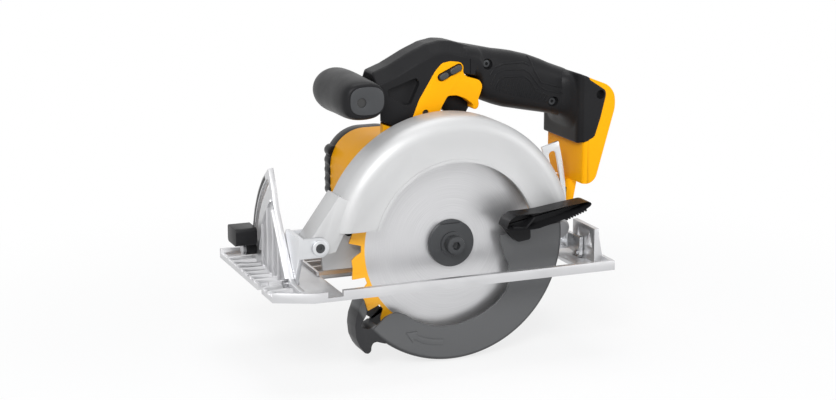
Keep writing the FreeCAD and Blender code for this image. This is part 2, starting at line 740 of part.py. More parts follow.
def motor_can():
    return ring(can_outer, magnet_outer, can_y0(), can_y1(), motor_x, motor_z)


def motor_magnets():
    y0 = can_y0() + 6
    body = ring(magnet_outer, magnet_inner, y0, y0 + armature_length + 2, motor_x, motor_z)
    for a in (45, 135):
        bar = box(-60, 60, y0 - 1, y0 + armature_length + 3, -1.5, 1.5)
        bar.rotate(Vector(0, 0, 0), Vector(0, 1, 0), a)
        bar.translate(Vector(motor_x, 0, motor_z))
        notch = bar.cut(rod(magnet_inner + 2, 0, 200, motor_x, motor_z))
        body = body.cut(notch)
    return body


def armature():
    y0 = can_y0() + 7
    y1 = y0 + armature_length
    core = rod(armature_radius, y0, y1, motor_x, motor_z)
    for i in range(12):
        x, z = polar(armature_radius, 30 * i, motor_x, motor_z)
        core = core.cut(rod(1.6, y0 - 1, y1 + 1, x, z))
    windings = [rod(armature_radius - 3, y0 - 5, y0 + 1, motor_x, motor_z),
                rod(armature_radius - 3, y1 - 1, y1 + 5, motor_x, motor_z)]
    return fuse([core] + windings).cut(rod(rotor_shaft_radius, 0, 200, motor_x, motor_z))


def commutator_y():
    return can_y0() + 7 + armature_length + 9


def commutator():
    y0 = commutator_y()
    return ring(commutator_radius, rotor_shaft_radius, y0, y0 + commutator_length,
                motor_x, motor_z)


def carbon_brush(side):
    y0 = commutator_y() + 2
    x0 = commutator_radius + GAP
    body = box(x0, x0 + 12, y0, y0 + 8, -3, 3)
    return place_on_motor(body, side)


def brush_holder(side):
    y0 = commutator_y() + 0.5
    x0 = commutator_radius + 2.5
    body = box(x0, can_outer - 2, y0, y0 + 11, -4.5, 4.5)
    body = body.cut(box(x0 - 1, x0 + 13, y0 + 1.5, y0 + 9.5, -3, 3))
    post = box(can_outer - 4, housing_half_x - housing_wall, y0, y0 + 11, -6, 6)
    return place_on_motor(fuse([body, post]), side)


def place_on_motor(body, side):
    if side < 0:
        body.rotate(Vector(0, 0, 0), Vector(0, 1, 0), 180)
    body.translate(Vector(motor_x, 0, motor_z))
    return body


def fan():
    y1 = fan_y1()
    disc = rod(fan_radius, y1 - 2.0, y1, motor_x, motor_z)
    hub = rod(8.0, y1 - 10, y1, motor_x, motor_z)
    blades = []
    for i in range(9):
        vane = box(6, fan_radius - 1, y1 - 9, y1 - 1, -0.8, 0.8)
        vane.rotate(Vector(0, 0, 0), Vector(0, 1, 0), 40 * i)
        vane.translate(Vector(motor_x, 0, motor_z))
        blades.append(vane)
    return fuse([disc, hub] + blades).cut(rod(rotor_shaft_radius, 0, 200, motor_x, motor_z))


def rear_bearing_y():
    return housing_back_y + cap_length - 3 - bearing_width


def rotor_shaft():
    back = rear_bearing_y() + bearing_width - 0.5
    shaft = rod(rotor_shaft_radius, gear_back + 0.3, back, motor_x, motor_z)
    pinion = toothed_wheel(pinion_radius, pinion_teeth, gear_module, gear_y + 0.3,
                           gear_back + 0.3, 0.8, motor_x, motor_z,
                           phase=mesh_angle() + 180 + 180 / pinion_teeth)
    core = rod(0.9, gear_y + 0.3, gear_back + 1, motor_x, motor_z)
    return fuse([shaft, pinion, core])


# ---------------------------------------------------------------- handle
GRIP = [(-52, 156.5), (-39, 161), (-22, 170), (-8, 176), (3, 178), (13, 177), (25, 172), (51, 167),
        (81, 162), (98, 155), (117, 146.5), (117, 112), (99, 114), (80, 117), (57, 122),
        (37, 128.5), (36, 144.5), (19, 151.5), (15, 161), (2, 158), (-23, 116), (-33, 113),
        (-44, 116)]
PANEL = [(2, 158), (15, 161), (19, 151.5), (36, 144.5), (37, 128.5), (33, 123.5), (28, 132.5),
         (7, 135.5), (0, 121.5), (0, 70), (-44, 70), (-44, 116), (-33, 113), (-23, 116)]
BOOT = [(117, 146.5), (141, 137), (145, 124), (127, 60), (117, 60)]
CAVITY = [(-10, 129), (6, 152), (24, 163), (51, 158), (80, 152), (100, 143), (110, 139), (110, 119),
          (104, 119), (80, 125), (57, 130), (44, 135), (44, 139), (20, 138), (20, 131), (1, 127)]
ARM_LOW_Z = 38.0
ARM_HIGH_Z = 58.0


def handle_cuts():
    """What sits inside the handle or passes through its wall."""
    cavity = prism(CAVITY, handle_y - cavity_half, handle_y + cavity_half)
    notch = prism([(3, 116), (3, 136), (34, 136), (34, 116)],
                  handle_y - trigger_half - 0.8, handle_y + trigger_half + 0.8)
    return cavity.fuse(notch)


def handle_screw_places():
    return [(40.6, 158.0), (97.6, 125.0)]


def split_half(shape, side):
    if side < 0:
        half = box(-300, 300, -100, handle_y, -100, 300)
    else:
        half = box(-300, 300, handle_y, 300, -100, 300)
    return shape.common(half)


def grip(side):
    body = prism(GRIP, handle_y - handle_half, handle_y + handle_half)
    body = body.cut(auxiliary_shape()).cut(handle_cuts())
    for x, z in handle_screw_places():
        body = body.cut(rod(2.0, 0, 200, x, z))
        body = body.cut(rod(screw_radius, 0, handle_y - handle_half + 3, x, z))
    return split_half(body, side)


def shell(side):
    """Yellow half: trigger panel and the neck that stands on the motor."""
    body = prism(PANEL, handle_y - handle_half, handle_y + handle_half)
    body = body.cut(handle_cuts())
    body = body.cut(rod(button_radius + 0.1, 0, handle_y, *button_place()))
    body = body.cut(rod(2.0, 0, 200, *trigger_pivot()))
    body = body.cut(gear_envelope(0, housing_front_y, 0.2))
    body = body.cut(housing_shape(0, housing_front_y, housing_back_y))
    return split_half(body, side)


def lower_arm():
    """Yellow arm behind the guard, from the motor housing to the battery boot."""
    top = ARM_HIGH_Z
    foot = BOOT[3][1]
    outline = [(10, ARM_LOW_Z), (10, top + 12), (30, top + 12), (44, top), (BOOT[4][0] - 4, top),
               (BOOT[4][0] - 4, foot), (BOOT[3][0] - 3, foot), (BOOT[4][0] + 3, ARM_LOW_Z)]
    body = prism(outline, cover_y, handle_y + 12)
    body = body.cut(gear_envelope(0, housing_front_y))
    return body.cut(housing_shape(0, housing_front_y, housing_back_y))


def auxiliary_shape():
    sections = []
    for y, x, z, rx, rz in ((aux_near_y, -69.5, 140, 16.0, 15.0), (20, -69, 139, 17.0, 16.0),
                            (50, -66.5, 135, 17.0, 18.0), (76, -64.5, 131.5, 18.5, 19.5),
                            (90, -63.5, 130, 16.0, 16.5), (aux_far_y, -63, 129.5, 9.0, 9.0)):
        if rx >= rz:
            oval = Part.Ellipse(Vector(x + rx, y, z), Vector(x, y, z + rz), Vector(x, y, z))
        else:
            oval = Part.Ellipse(Vector(x, y, z + rz), Vector(x + rx, y, z), Vector(x, y, z))
        sections.append(Part.Wire([oval.toShape()]))
    return Part.makeLoft(sections, True, False)


def auxiliary_handle():
    return auxiliary_shape().cut(rod(4.0, aux_near_y - 1, aux_near_y + 12, -69.5, 140))


def auxiliary_screw():
    return rod(4.0, aux_near_y + 3, aux_near_y + 12, -69.5, 140)


def handle_screw(x, z):
    y0 = handle_y - handle_half + 3
    return rod(screw_radius, y0 - 2.4, y0, x, z).fuse(rod(2.0, y0 - 1, y0 + 26, x, z)).removeSplitter()


def bay_frame(shape):
    """Moves a shape from the bay's own frame (U up the rear face, V out of it) into place."""
    (x1, z1), (x0, z0) = BOOT[2], BOOT[3]
    angle = math.degrees(math.atan2(z1 - z0, x1 - x0))
    shape.rotate(Vector(0, 0, 0), Vector(0, 1, 0), 90 - angle)
    shape.translate(Vector(x0, 0, z0))
    return shape


def bay_middle():
    return (boot_near_y + boot_far_y) / 2


def battery_boot():
    body = prism(BOOT, boot_near_y, boot_far_y)
    mid = bay_middle()
    bay = box(-bay_depth, 5, mid - bay_half, mid + bay_half, -30, 58)
    groove = box(-bay_depth, -rail_lip, mid - bay_half - rail_depth,
                 mid + bay_half + rail_depth, -30, 50)
    return body.cut(bay_frame(bay)).cut(bay_frame(groove))


def battery_terminal():
    mid = bay_middle()
    block = box(-bay_depth, -1.0, mid - 15, mid + 15, 36, 57)
    blades = [box(-bay_depth + 1.0, -bay_depth + 4.5, mid + 8 * i - 0.5, mid + 8 * i + 0.5, 24, 37)
              for i in (-1.5, -0.5, 0.5, 1.5)]
    return bay_frame(fuse([block] + blades))


def switch_module():
    return box(46, 82, handle_y - cavity_half + 1, handle_y + cavity_half, 134.6, 149)


def trigger_pivot():
    return (8.0, 141.0)


def trigger():
    x, z = trigger_pivot()
    blade_shape = prism([(5, 133), (5, 126), (9, 121.5), (18, 117.5), (26, 118.5), (30.5, 126),
                         (26, 131.5), (20, 133)], handle_y - trigger_half, handle_y + trigger_half)
    tongue = prism([(5, 125), (5, z), (11, z), (18, 133), (20, 127)], handle_y - 5, handle_y + 5)
    hub = rod(4.2, handle_y - 5, handle_y + 5, x, z)
    return fuse([blade_shape, tongue, hub]).cut(rod(2.0 + RUNNING, 0, 200, x, z))


def trigger_pin():
    return rod(2.0, handle_y - 15, handle_y + 15, *trigger_pivot())


def button_place():
    return (8.5, 153.5)


def lock_off_button():
    cap = rod(button_radius, handle_y - handle_half - 3, handle_y - 6, *button_place())
    return cap


def spindle_lock():
    y = gear_y + 5
    x0 = gear_radius + gear_module + 3.0
    pin = Part.makeCylinder(5.0, 14.0, Vector(x0, y, arbor_height), Vector(1, 0, 0))
    head = Part.makeCylinder(7.5, 6.0, Vector(x0 + 13, y, arbor_height), Vector(1, 0, 0))
    return pin.fuse(head).removeSplitter()


# ---------------------------------------------------------------- depth clamp
def depth_bolt():
    y0 = guard_far_y - guard_wall
    head = rod(6.0, y0 - 3, y0, depth_bolt_x, depth_bolt_z)
    shank = rod(bolt_radius, y0 - 1, depth_plate_y + depth_plate + 9.5, depth_bolt_x, depth_bolt_z)
    nut = rod(5.0, depth_plate_y + depth_plate + 6.8, depth_plate_y + depth_plate + 9.5,
              depth_bolt_x, depth_bolt_z)
    return fuse([head, shank, nut])


def depth_lever():
    y0 = depth_plate_y + depth_plate + GAP
    y1 = y0 + 6.0
    x, z = depth_bolt_x, depth_bolt_z
    hub = rod(8.0, y0, y1, x, z)
    arm = prism([(x - 6, z), (x - 3, z + 30), (x + 3, z + 34), (x + 9, z + 31), (x + 7, z)], y0, y1)
    thumb = prism([(x - 3.6, z + 24), (x - 3, z + 30), (x + 3, z + 34), (x + 9, z + 31),
                   (x + 8.5, z + 24)], y0, y1 + 3)
    return fuse([hub, arm, thumb]).cut(rod(bolt_radius + RUNNING, y0 - 1, y1 + 1, x, z))


# ---------------------------------------------------------------- everything
def build():
    nodes = {
        "shoe": shoe(),
        "bevel_scale": scale_band(quadrant_x, 0),
        "bevel_pin_front": bevel_pin_front(),
        "bevel_pin_rear": bevel_pin_rear(),
        "front_bracket": front_bracket(),
        "depth_pin": depth_pin(),
        "depth_bracket": depth_bracket(),
        "bevel_clamp_bolt": bevel_clamp_bolt(),
        "bevel_lever": bevel_lever(),
        "upper_guard": upper_guard(),
        "guard_bumper": guard_bumper(),
        "gear_case": gear_case(),
        "gear_cover": gear_cover(),
        "spindle_bearing_front": front_bearing(),
        "spindle_bearing_rear": bearing(small_bearing, 3.0 + RUNNING, cover_y),
        "rotor_bearing_front": bearing(rotor_bearing, rotor_shaft_radius + RUNNING, cover_y,
                                       motor_x, motor_z),
        "rotor_bearing_rear": bearing(rotor_bearing - 3, rotor_shaft_radius + RUNNING,
                                      rear_bearing_y(), motor_x, motor_z),
        "guard_retainer": guard_retainer(),
        "guard_spring": guard_spring(),
        "motor_housing": motor_housing(),
        "motor_end_cap": motor_end_cap(),
        "motor_can": motor_can(),
        "motor_magnets": motor_magnets(),
        "grip_left": grip(-1),
        "grip_right": grip(1),
        "handle_shell_left": shell(-1),
        "handle_shell_right": shell(1),
        "lower_arm": lower_arm(),
        "auxiliary_handle": auxiliary_handle(),
        "auxiliary_screw": auxiliary_screw(),
        "battery_boot": battery_boot(),
        "battery_terminal": battery_terminal(),
        "switch_module": switch_module(),
        "trigger": trigger(),
        "trigger_pin": trigger_pin(),
        "lock_off_button": lock_off_button(),
        "spindle_lock": spindle_lock(),
        "depth_bolt": depth_bolt(),
        "depth_lever": depth_lever(),
        "spindle": spindle(),
        "spindle_gear": spindle_gear(),
        "inner_flange": inner_flange(),
        "blade": blade(),
        "outer_flange": outer_flange(),
        "blade_screw": blade_screw(),
        "rotor_shaft": rotor_shaft(),
        "armature": armature(),
        "commutator": commutator(),
        "fan": fan(),
        "lower_guard": lower_guard(),
        "guard_lever": guard_lever(),
        "lever_screw": guard_lever_screw(),
    }
    for number, (x, z) in enumerate(handle_screw_places(), 1):
        nodes["handle_screw_%d" % number] = handle_screw(x, z)
    for number, (x, z) in enumerate(guard_screw_places(), 1):
        nodes["guard_screw_%d" % number] = guard_screw(x, z)
    for number, side in enumerate((-1, 1), 1):
        nodes["carbon_brush_%d" % number] = carbon_brush(side)
        nodes["brush_holder_%d" % number] = brush_holder(side)
    return nodes


os.makedirs("parts", exist_ok=True)
for name, shape in build().items():
    solids = shape.Solids
    if len(solids) == 1:
        shape = solids[0]
    print("%-24s solids %d valid %s volume %.0f" % (name, len(solids), shape.isValid(), shape.Volume))
    shape.exportStep("parts/%s.step" % name)
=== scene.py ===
# %% [markdown]
# A cordless circular saw: a cast shoe, a swinging lower guard, a yellow motor housing and a
# soft black handle.  The construction comes in as a fixed frame of metal and plastic pieces.
# This lesson gives them their finish, and models again the pieces that are more sculpted
# than a workshop drawing shows: the handle, the trigger panel, the battery foot and the lever.

# %% Load the frame
import json
import math
import bmesh
import bpy
from mathutils import Matrix, Vector


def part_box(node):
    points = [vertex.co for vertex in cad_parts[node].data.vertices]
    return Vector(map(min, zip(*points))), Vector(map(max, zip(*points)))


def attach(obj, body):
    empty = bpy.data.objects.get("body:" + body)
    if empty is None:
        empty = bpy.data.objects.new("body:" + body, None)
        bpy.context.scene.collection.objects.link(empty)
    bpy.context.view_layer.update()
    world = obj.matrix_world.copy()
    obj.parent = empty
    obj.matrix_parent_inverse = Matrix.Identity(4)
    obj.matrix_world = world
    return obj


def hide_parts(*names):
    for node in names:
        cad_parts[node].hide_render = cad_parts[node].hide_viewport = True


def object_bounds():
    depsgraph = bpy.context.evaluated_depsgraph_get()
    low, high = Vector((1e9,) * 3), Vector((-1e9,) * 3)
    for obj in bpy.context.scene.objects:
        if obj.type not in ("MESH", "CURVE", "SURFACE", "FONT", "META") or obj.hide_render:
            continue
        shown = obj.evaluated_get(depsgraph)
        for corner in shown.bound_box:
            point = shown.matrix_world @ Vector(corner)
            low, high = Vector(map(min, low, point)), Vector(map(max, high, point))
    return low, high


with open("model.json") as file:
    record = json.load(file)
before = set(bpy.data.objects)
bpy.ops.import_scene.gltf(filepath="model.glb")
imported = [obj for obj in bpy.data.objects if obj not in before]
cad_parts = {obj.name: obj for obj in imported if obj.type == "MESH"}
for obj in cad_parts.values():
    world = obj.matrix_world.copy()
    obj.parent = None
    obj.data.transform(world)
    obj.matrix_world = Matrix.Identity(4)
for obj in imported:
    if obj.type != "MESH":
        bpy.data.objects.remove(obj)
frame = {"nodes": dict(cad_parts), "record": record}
cad_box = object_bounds()
nodes = frame["nodes"]
MM = 0.001
ARBOR_HEIGHT = 25.5
ARBOR = Vector((0, 0, ARBOR_HEIGHT)) * MM
print("frame", [round(v, 4) for corner in cad_box for v in corner])

# %% [markdown]
# The camera comes first, because everything else is judged through it.  It stands low in
# front of the blade side and a little to the front of the saw, with a long lens, so the shoe
# shows as a narrow ramp and the far edges hardly shrink.

# %% Camera
CAMERA_PLACE = Vector((-515.1, -1204.6, 365.8)) * MM
CAMERA_TURN = math.radians(22.1)
CAMERA_DROP = math.radians(13.2)
LENS = 75.75


def look_direction(turn, drop):
    return Vector((math.sin(turn) * math.cos(drop), math.cos(turn) * math.cos(drop),
                   -math.sin(drop)))


camera = bpy.data.objects.new("camera", bpy.data.cameras.new("camera"))
bpy.context.scene.collection.objects.link(camera)
camera.data.lens = LENS
camera.data.sensor_width = 36.0
camera.location = CAMERA_PLACE
view = look_direction(CAMERA_TURN, CAMERA_DROP)
camera.rotation_euler = view.to_track_quat("-Z", "Y").to_euler()
bpy.context.scene.camera = camera
print("camera", [round(v, 3) for v in camera.location])

# %% [markdown]
# A catalogue studio is white all round.  Large soft lamps give broad highlights on the guard
# and the grip, and the world fills the shadows.  What the camera, mirrors and glass see of the
# world is plain white, so the background stays clean without more light on the saw.

# %% World, lamps and floor
def add_node(tree, kind, inputs=(), **settings):
    """A shader node: an input is given a value, or another node's output to be joined to."""
    node = tree.nodes.new("ShaderNode" + kind)
    for label, value in settings.items():
        setattr(node, label, value)
    for label, value in dict(inputs).items():
        if isinstance(value, bpy.types.NodeSocket):
            tree.links.new(value, node.inputs[label])
        else:
            node.inputs[label].default_value = value
    return node


def white_rays(tree):
    """1 for the rays of the camera, of mirrors and of glass, which see plain white."""
    path = add_node(tree, "LightPath")
    total = path.outputs["Is Camera Ray"]
    for label in ("Is Glossy Ray", "Is Transmission Ray"):
        larger = add_node(tree, "Math", {0: total, 1: path.outputs[label]}, operation="MAXIMUM")
        total = larger.outputs[0]
    return total


def new_world(fill):
    world = bpy.data.worlds.new("studio")
    world.use_nodes = True
    tree = world.node_tree
    tree.nodes.clear()
    plain = add_node(tree, "Background", {"Color": (0.92, 0.95, 1.0, 1), "Strength": fill})
    white = add_node(tree, "Background", {"Color": (1, 1, 1, 1), "Strength": 1.0})
    mix = add_node(tree, "MixShader", {0: white_rays(tree), 1: plain.outputs[0],
                                       2: white.outputs[0]})
    add_node(tree, "OutputWorld", {"Surface": mix.outputs[0]})
    bpy.context.scene.world = world


def area_lamp(name, place, target, size, power):
    lamp = bpy.data.lights.new(name, "AREA")
    lamp.shape = "RECTANGLE"
    lamp.size, lamp.size_y = size
    lamp.energy = power
    obj = bpy.data.objects.new(name, lamp)
    bpy.context.scene.collection.objects.link(obj)
    obj.location = place
    obj.rotation_euler = (Vector(target) - Vector(place)).to_track_quat("-Z", "Y").to_euler()
    return obj


bpy.context.scene.view_settings.view_transform = "Standard"
new_world(0.38)
area_lamp("key", (-0.7, -1.2, 1.0), (0, 0, 0.06), (0.7, 0.7), 21)
area_lamp("side", (1.2, -0.8, 0.5), (0, 0, 0.06), (0.4, 0.9), 5)
area_lamp("top", (0.1, 0.3, 1.4), (0, 0, 0.05), (0.8, 0.8), 6.5)


def floor_material():
    """A pale floor that keeps the shadow and fades to plain white away from the saw."""
    material = bpy.data.materials.new("studio_floor")
    material.use_nodes = True
    tree = material.node_tree
    tree.nodes.clear()
    diffuse = add_node(tree, "BsdfDiffuse", {"Color": (0.86, 0.86, 0.86, 1)})
    glow = add_node(tree, "Emission")
    place = add_node(tree, "TexCoord")
    away = add_node(tree, "VectorMath", {0: place.outputs["Object"]}, operation="LENGTH")
    fade = add_node(tree, "MapRange", {"From Min": 0.15, "From Max": 0.6, "To Min": 0.78,
                                       "To Max": 1.0, "Value": away.outputs["Value"]},
                    interpolation_type="SMOOTHSTEP")
    share = add_node(tree, "Math", {0: white_rays(tree), 1: fade.outputs["Result"]},
                     operation="MULTIPLY")
    mix = add_node(tree, "MixShader", {0: share.outputs[0], 1: diffuse.outputs[0],
                                       2: glow.outputs[0]})
    add_node(tree, "OutputMaterial", {"Surface": mix.outputs[0]})
    return material


FLOOR_SIZE = 6.0


def new_floor(z):
    mesh = bpy.data.meshes.new("floor")
    shape = bmesh.new()
    bmesh.ops.create_grid(shape, x_segments=1, y_segments=1, size=FLOOR_SIZE)
    bmesh.ops.translate(shape, verts=shape.verts, vec=(0, 0, z))
    shape.to_mesh(mesh)
    shape.free()
    floor = bpy.data.objects.new("floor", mesh)
    bpy.context.scene.collection.objects.link(floor)
    mesh.materials.append(floor_material())


new_floor(cad_box[0][2] - 0.001)
print("lamps", len(bpy.data.lights))

# %% [markdown]
# Moulded plastic, soft overmould, castings and ground steel all share two effects: a fine
# grain that breaks up the highlight, and large soft patches where the surface is a touch
# darker or shinier.  Each effect is a node group, built once.

# %% Shared effects
def new_group(name, inputs, outputs):
    group = bpy.data.node_groups.new(name, "ShaderNodeTree")
    for label, kind, value in inputs:
        socket = group.interface.new_socket(name=label, in_out="INPUT", socket_type=kind)
        socket.default_value = value
    for label, kind in outputs:
        group.interface.new_socket(name=label, in_out="OUTPUT", socket_type=kind)
    return group


def grain_group():
    group = new_group("fine_grain", [("Scale", "NodeSocketFloat", 900.0)],
                      [("Height", "NodeSocketFloat")])
    tree_in = group.nodes.new("NodeGroupInput")
    tree_out = group.nodes.new("NodeGroupOutput")
    place = add_node(group, "TexCoord")
    noise = add_node(group, "TexNoise", {"Vector": place.outputs["Object"], "Detail": 2.0,
                                         "Scale": tree_in.outputs["Scale"],
                                         "Roughness": 0.6})
    group.links.new(noise.outputs["Fac"], tree_out.inputs["Height"])
    return group


def patches_group():
    group = new_group("soft_patches",
                      [("Scale", "NodeSocketFloat", 25.0), ("Low", "NodeSocketFloat", 0.0),
                       ("High", "NodeSocketFloat", 1.0)], [("Value", "NodeSocketFloat")])
    tree_in = group.nodes.new("NodeGroupInput")
    tree_out = group.nodes.new("NodeGroupOutput")
    place = add_node(group, "TexCoord")
    noise = add_node(group, "TexNoise", {"Vector": place.outputs["Object"], "Detail": 3.0,
                                         "Scale": tree_in.outputs["Scale"]})
    spread = add_node(group, "MapRange", {
        "From Min": 0.3, "From Max": 0.7, "Value": noise.outputs["Fac"],
        "To Min": tree_in.outputs["Low"], "To Max": tree_in.outputs["High"]})
    group.links.new(spread.outputs["Result"], tree_out.inputs["Value"])
    return group


def radius_group():
    """Distance from the arbor line, in metres, and the angle round it."""
    group = new_group("round_the_arbor", [], [("Radius", "NodeSocketFloat"),
                                              ("Angle", "NodeSocketFloat")])
    tree_out = group.nodes.new("NodeGroupOutput")
    place = add_node(group, "TexCoord")
    shift = add_node(group, "VectorMath", {0: place.outputs["Object"], 1: ARBOR},
                     operation="SUBTRACT")
    flat = add_node(group, "VectorMath", {0: shift.outputs[0], 1: (1, 0, 1)},
                    operation="MULTIPLY")
    length = add_node(group, "VectorMath", {0: flat.outputs[0]}, operation="LENGTH")
    apart = add_node(group, "SeparateXYZ", {0: flat.outputs[0]})
    turn = add_node(group, "Math", {0: apart.outputs["Z"], 1: apart.outputs["X"]},
                    operation="ARCTAN2")
    group.links.new(length.outputs["Value"], tree_out.inputs["Radius"])
    group.links.new(turn.outputs[0], tree_out.inputs["Angle"])
    return group


GRAIN = grain_group()
PATCHES = patches_group()
ROUND = radius_group()
print("groups", [g.name for g in bpy.data.node_groups])

# %% [markdown]
# A finish is a Principled surface whose colour drifts between two close tones and whose
# roughness drifts a little too, with the grain as bump.  Plastic, rubber and metal differ only
# in their numbers, so one function makes them all.

# %% Finishes
def place_group(tree, group, **values):
    node = tree.nodes.new("ShaderNodeGroup")
    node.node_tree = group
    for label, value in values.items():
        node.inputs[label].default_value = value
    return node


def new_finish(name, tone, other, rough, metallic=0.0, grain=900.0, depth=0.00002, patch=22.0,
               sheen=0.0, coat=0.0, specular=0.5):
    material = bpy.data.materials.new(name)
    material.use_nodes = True
    tree = material.node_tree
    surface = tree.nodes["Principled BSDF"]
    surface.inputs["Metallic"].default_value = metallic
    surface.inputs["Specular IOR Level"].default_value = specular
    surface.inputs["Sheen Weight"].default_value = sheen
    surface.inputs["Coat Weight"].default_value = coat
    surface.inputs["Coat Roughness"].default_value = 0.25
    tint = place_group(tree, PATCHES, Scale=patch, Low=0.0, High=1.0)
    mix = add_node(tree, "Mix", data_type="RGBA")
    mix.inputs["A"].default_value = (*tone, 1)
    mix.inputs["B"].default_value = (*other, 1)
    tree.links.new(tint.outputs["Value"], mix.inputs["Factor"])
    tree.links.new(mix.outputs["Result"], surface.inputs["Base Color"])
    shine = place_group(tree, PATCHES, Scale=patch * 2.3, Low=rough[0], High=rough[1])
    tree.links.new(shine.outputs["Value"], surface.inputs["Roughness"])
    grit = place_group(tree, GRAIN, Scale=grain)
    bump = add_node(tree, "Bump", {"Distance": depth, "Height": grit.outputs["Height"]})
    tree.links.new(bump.outputs["Normal"], surface.inputs["Normal"])
    return material


FINISHES = {  # two close tones, the range of roughness, and what differs from plain plastic
    "shoe_casting": ((0.66, 0.66, 0.67), (0.56, 0.56, 0.57), (0.32, 0.46),
        dict(metallic=0.85, grain=1400, depth=0.00004)),
    "zinc_plate": ((0.74, 0.75, 0.76), (0.64, 0.65, 0.67), (0.25, 0.38),
        dict(metallic=0.9, grain=500, depth=0.00001)),
    "bolt_steel": ((0.42, 0.42, 0.43), (0.34, 0.34, 0.35), (0.25, 0.4), dict(metallic=1.0)),
    "guard_casting": ((0.55, 0.55, 0.55), (0.51, 0.51, 0.51), (0.44, 0.52),
        dict(metallic=0.25, grain=2200, depth=0.00002)),
    "gear_casting": ((0.45, 0.46, 0.47), (0.38, 0.39, 0.40), (0.4, 0.5),
        dict(metallic=0.9, grain=1400, depth=0.00005)),
    "guard_dark": ((0.050, 0.052, 0.055), (0.042, 0.044, 0.047), (0.36, 0.48),
        dict(metallic=0.3, grain=1800, depth=0.00003)),
    "gear_steel": ((0.35, 0.35, 0.36), (0.28, 0.28, 0.29), (0.25, 0.35), dict(metallic=1.0)),
    "bearing_steel": ((0.6, 0.61, 0.63), (0.5, 0.51, 0.53), (0.12, 0.2), dict(metallic=1.0)),
    "spring_steel": ((0.3, 0.3, 0.31), (0.24, 0.24, 0.25), (0.25, 0.35), dict(metallic=1.0)),
    "yellow_plastic": ((0.95, 0.42, 0.004), (0.92, 0.40, 0.003), (0.38, 0.46),
        dict(grain=1500, depth=0.000035, specular=0.07)),
    "black_plastic": ((0.012, 0.012, 0.013), (0.016, 0.016, 0.017), (0.30, 0.40),
        dict(grain=1300, depth=0.00004, specular=0.12)),
    "grip_rubber": ((0.013, 0.013, 0.014), (0.017, 0.017, 0.018), (0.34, 0.44),
        dict(grain=1100, depth=0.00006, specular=0.10)),
    "lamination_steel": ((0.35, 0.22, 0.14), (0.28, 0.18, 0.12), (0.35, 0.5), dict(metallic=0.8)),
    "magnet_ferrite": ((0.05, 0.05, 0.055), (0.04, 0.04, 0.045), (0.5, 0.6), dict(metallic=0.2)),
    "copper": ((0.72, 0.36, 0.2), (0.62, 0.30, 0.16), (0.25, 0.35), dict(metallic=1.0)),
    "carbon": ((0.03, 0.03, 0.03), (0.02, 0.02, 0.02), (0.5, 0.6), dict()),
    "brass_part": ((0.6, 0.45, 0.2), (0.5, 0.37, 0.16), (0.25, 0.35), dict(metallic=1.0)),
}
FINISH = {name: new_finish(name, *tones, **more)
          for name, (*tones, more) in FINISHES.items()}
print("finishes", len(FINISH))

# %% [markdown]
# The blade is ground on a turning table, which leaves faint rings, and its rim is sprayed
# yellow.  Both follow the distance from the arbor, so they turn with the blade.

# %% Blade finish
PAINT_RADIUS = 69.5 * MM


def blade_finish():
    material = new_finish("blade_steel", (0.62, 0.62, 0.63), (0.56, 0.56, 0.57), (0.3, 0.4))
    tree = material.node_tree
    surface = tree.nodes["Principled BSDF"]
    around = place_group(tree, ROUND)
    paint = add_node(tree, "MapRange", {
        "From Min": PAINT_RADIUS, "From Max": PAINT_RADIUS + 0.0003,
        "Value": around.outputs["Radius"]})
    fine = add_node(tree, "Math", {0: around.outputs["Radius"], 1: 2600.0},
                    operation="MULTIPLY")
    stretch = add_node(tree, "CombineXYZ", {"X": fine.outputs[0],
                                            "Y": around.outputs["Angle"]})
    rings = add_node(tree, "TexNoise", {"Vector": stretch.outputs[0], "Scale": 1.0,
                                        "Detail": 2.0}, noise_dimensions="2D")
    steel = add_node(tree, "Mix", {"A": (0.70, 0.70, 0.71, 1), "B": (0.55, 0.55, 0.56, 1),
                                   "Factor": rings.outputs["Fac"]}, data_type="RGBA")
    colour = add_node(tree, "Mix", {"A": steel.outputs["Result"],
                                    "B": (0.90, 0.42, 0.010, 1),
                                    "Factor": paint.outputs["Result"]}, data_type="RGBA")
    tree.links.new(colour.outputs["Result"], surface.inputs["Base Color"])
    bare = add_node(tree, "Math", {0: paint.outputs["Result"], 1: -0.8, 2: 0.8},
                    operation="MULTIPLY_ADD")
    tree.links.new(bare.outputs[0], surface.inputs["Metallic"])
    return material


FINISH["blade_steel"] = blade_finish()
slot_of = {s["node"]: s["material_slot"] for s in frame["record"]["subparts"]}
for name, obj in nodes.items():
    obj.data.materials.clear()
    obj.data.materials.append(FINISH[slot_of[name]])
print("finished nodes", len(nodes))

# %% [markdown]
# No edge on a real casting or moulding is perfectly sharp: a thin bright line along each edge
# is what makes it look solid.  A softened copy of a frame piece is merged, its flat faces are
# joined, and its edges get a narrow bevel.

# %% Softened copies of frame pieces
def body_name(node):
    for body, members in frame["record"]["behaviour"]["bodies"].items():
        if node in members:
            return body


def shade_by_angle(mesh, degrees):
    shape = bmesh.new()
    shape.from_mesh(mesh)
    for face in shape.faces:
        face.smooth = True
    limit = math.radians(degrees)
    for edge in shape.edges:
        edge.smooth = len(edge.link_faces) == 2 and edge.calc_face_angle(0.0) < limit
    shape.to_mesh(mesh)
    shape.free()


def apply_modifiers(obj):
    bpy.context.view_layer.update()
    graph = bpy.context.evaluated_depsgraph_get()
    mesh = bpy.data.meshes.new_from_object(obj.evaluated_get(graph))
    old = obj.data
    obj.modifiers.clear()
    obj.data = mesh
    bpy.data.meshes.remove(old)


def add_piece(name, mesh, finish, body, replaced=()):
    obj = bpy.data.objects.new(name, mesh)
    bpy.context.scene.collection.objects.link(obj)
    mesh.materials.clear()
    mesh.materials.append(FINISH[finish])
    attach(obj, body)
    if replaced:
        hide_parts(*replaced)
    return obj


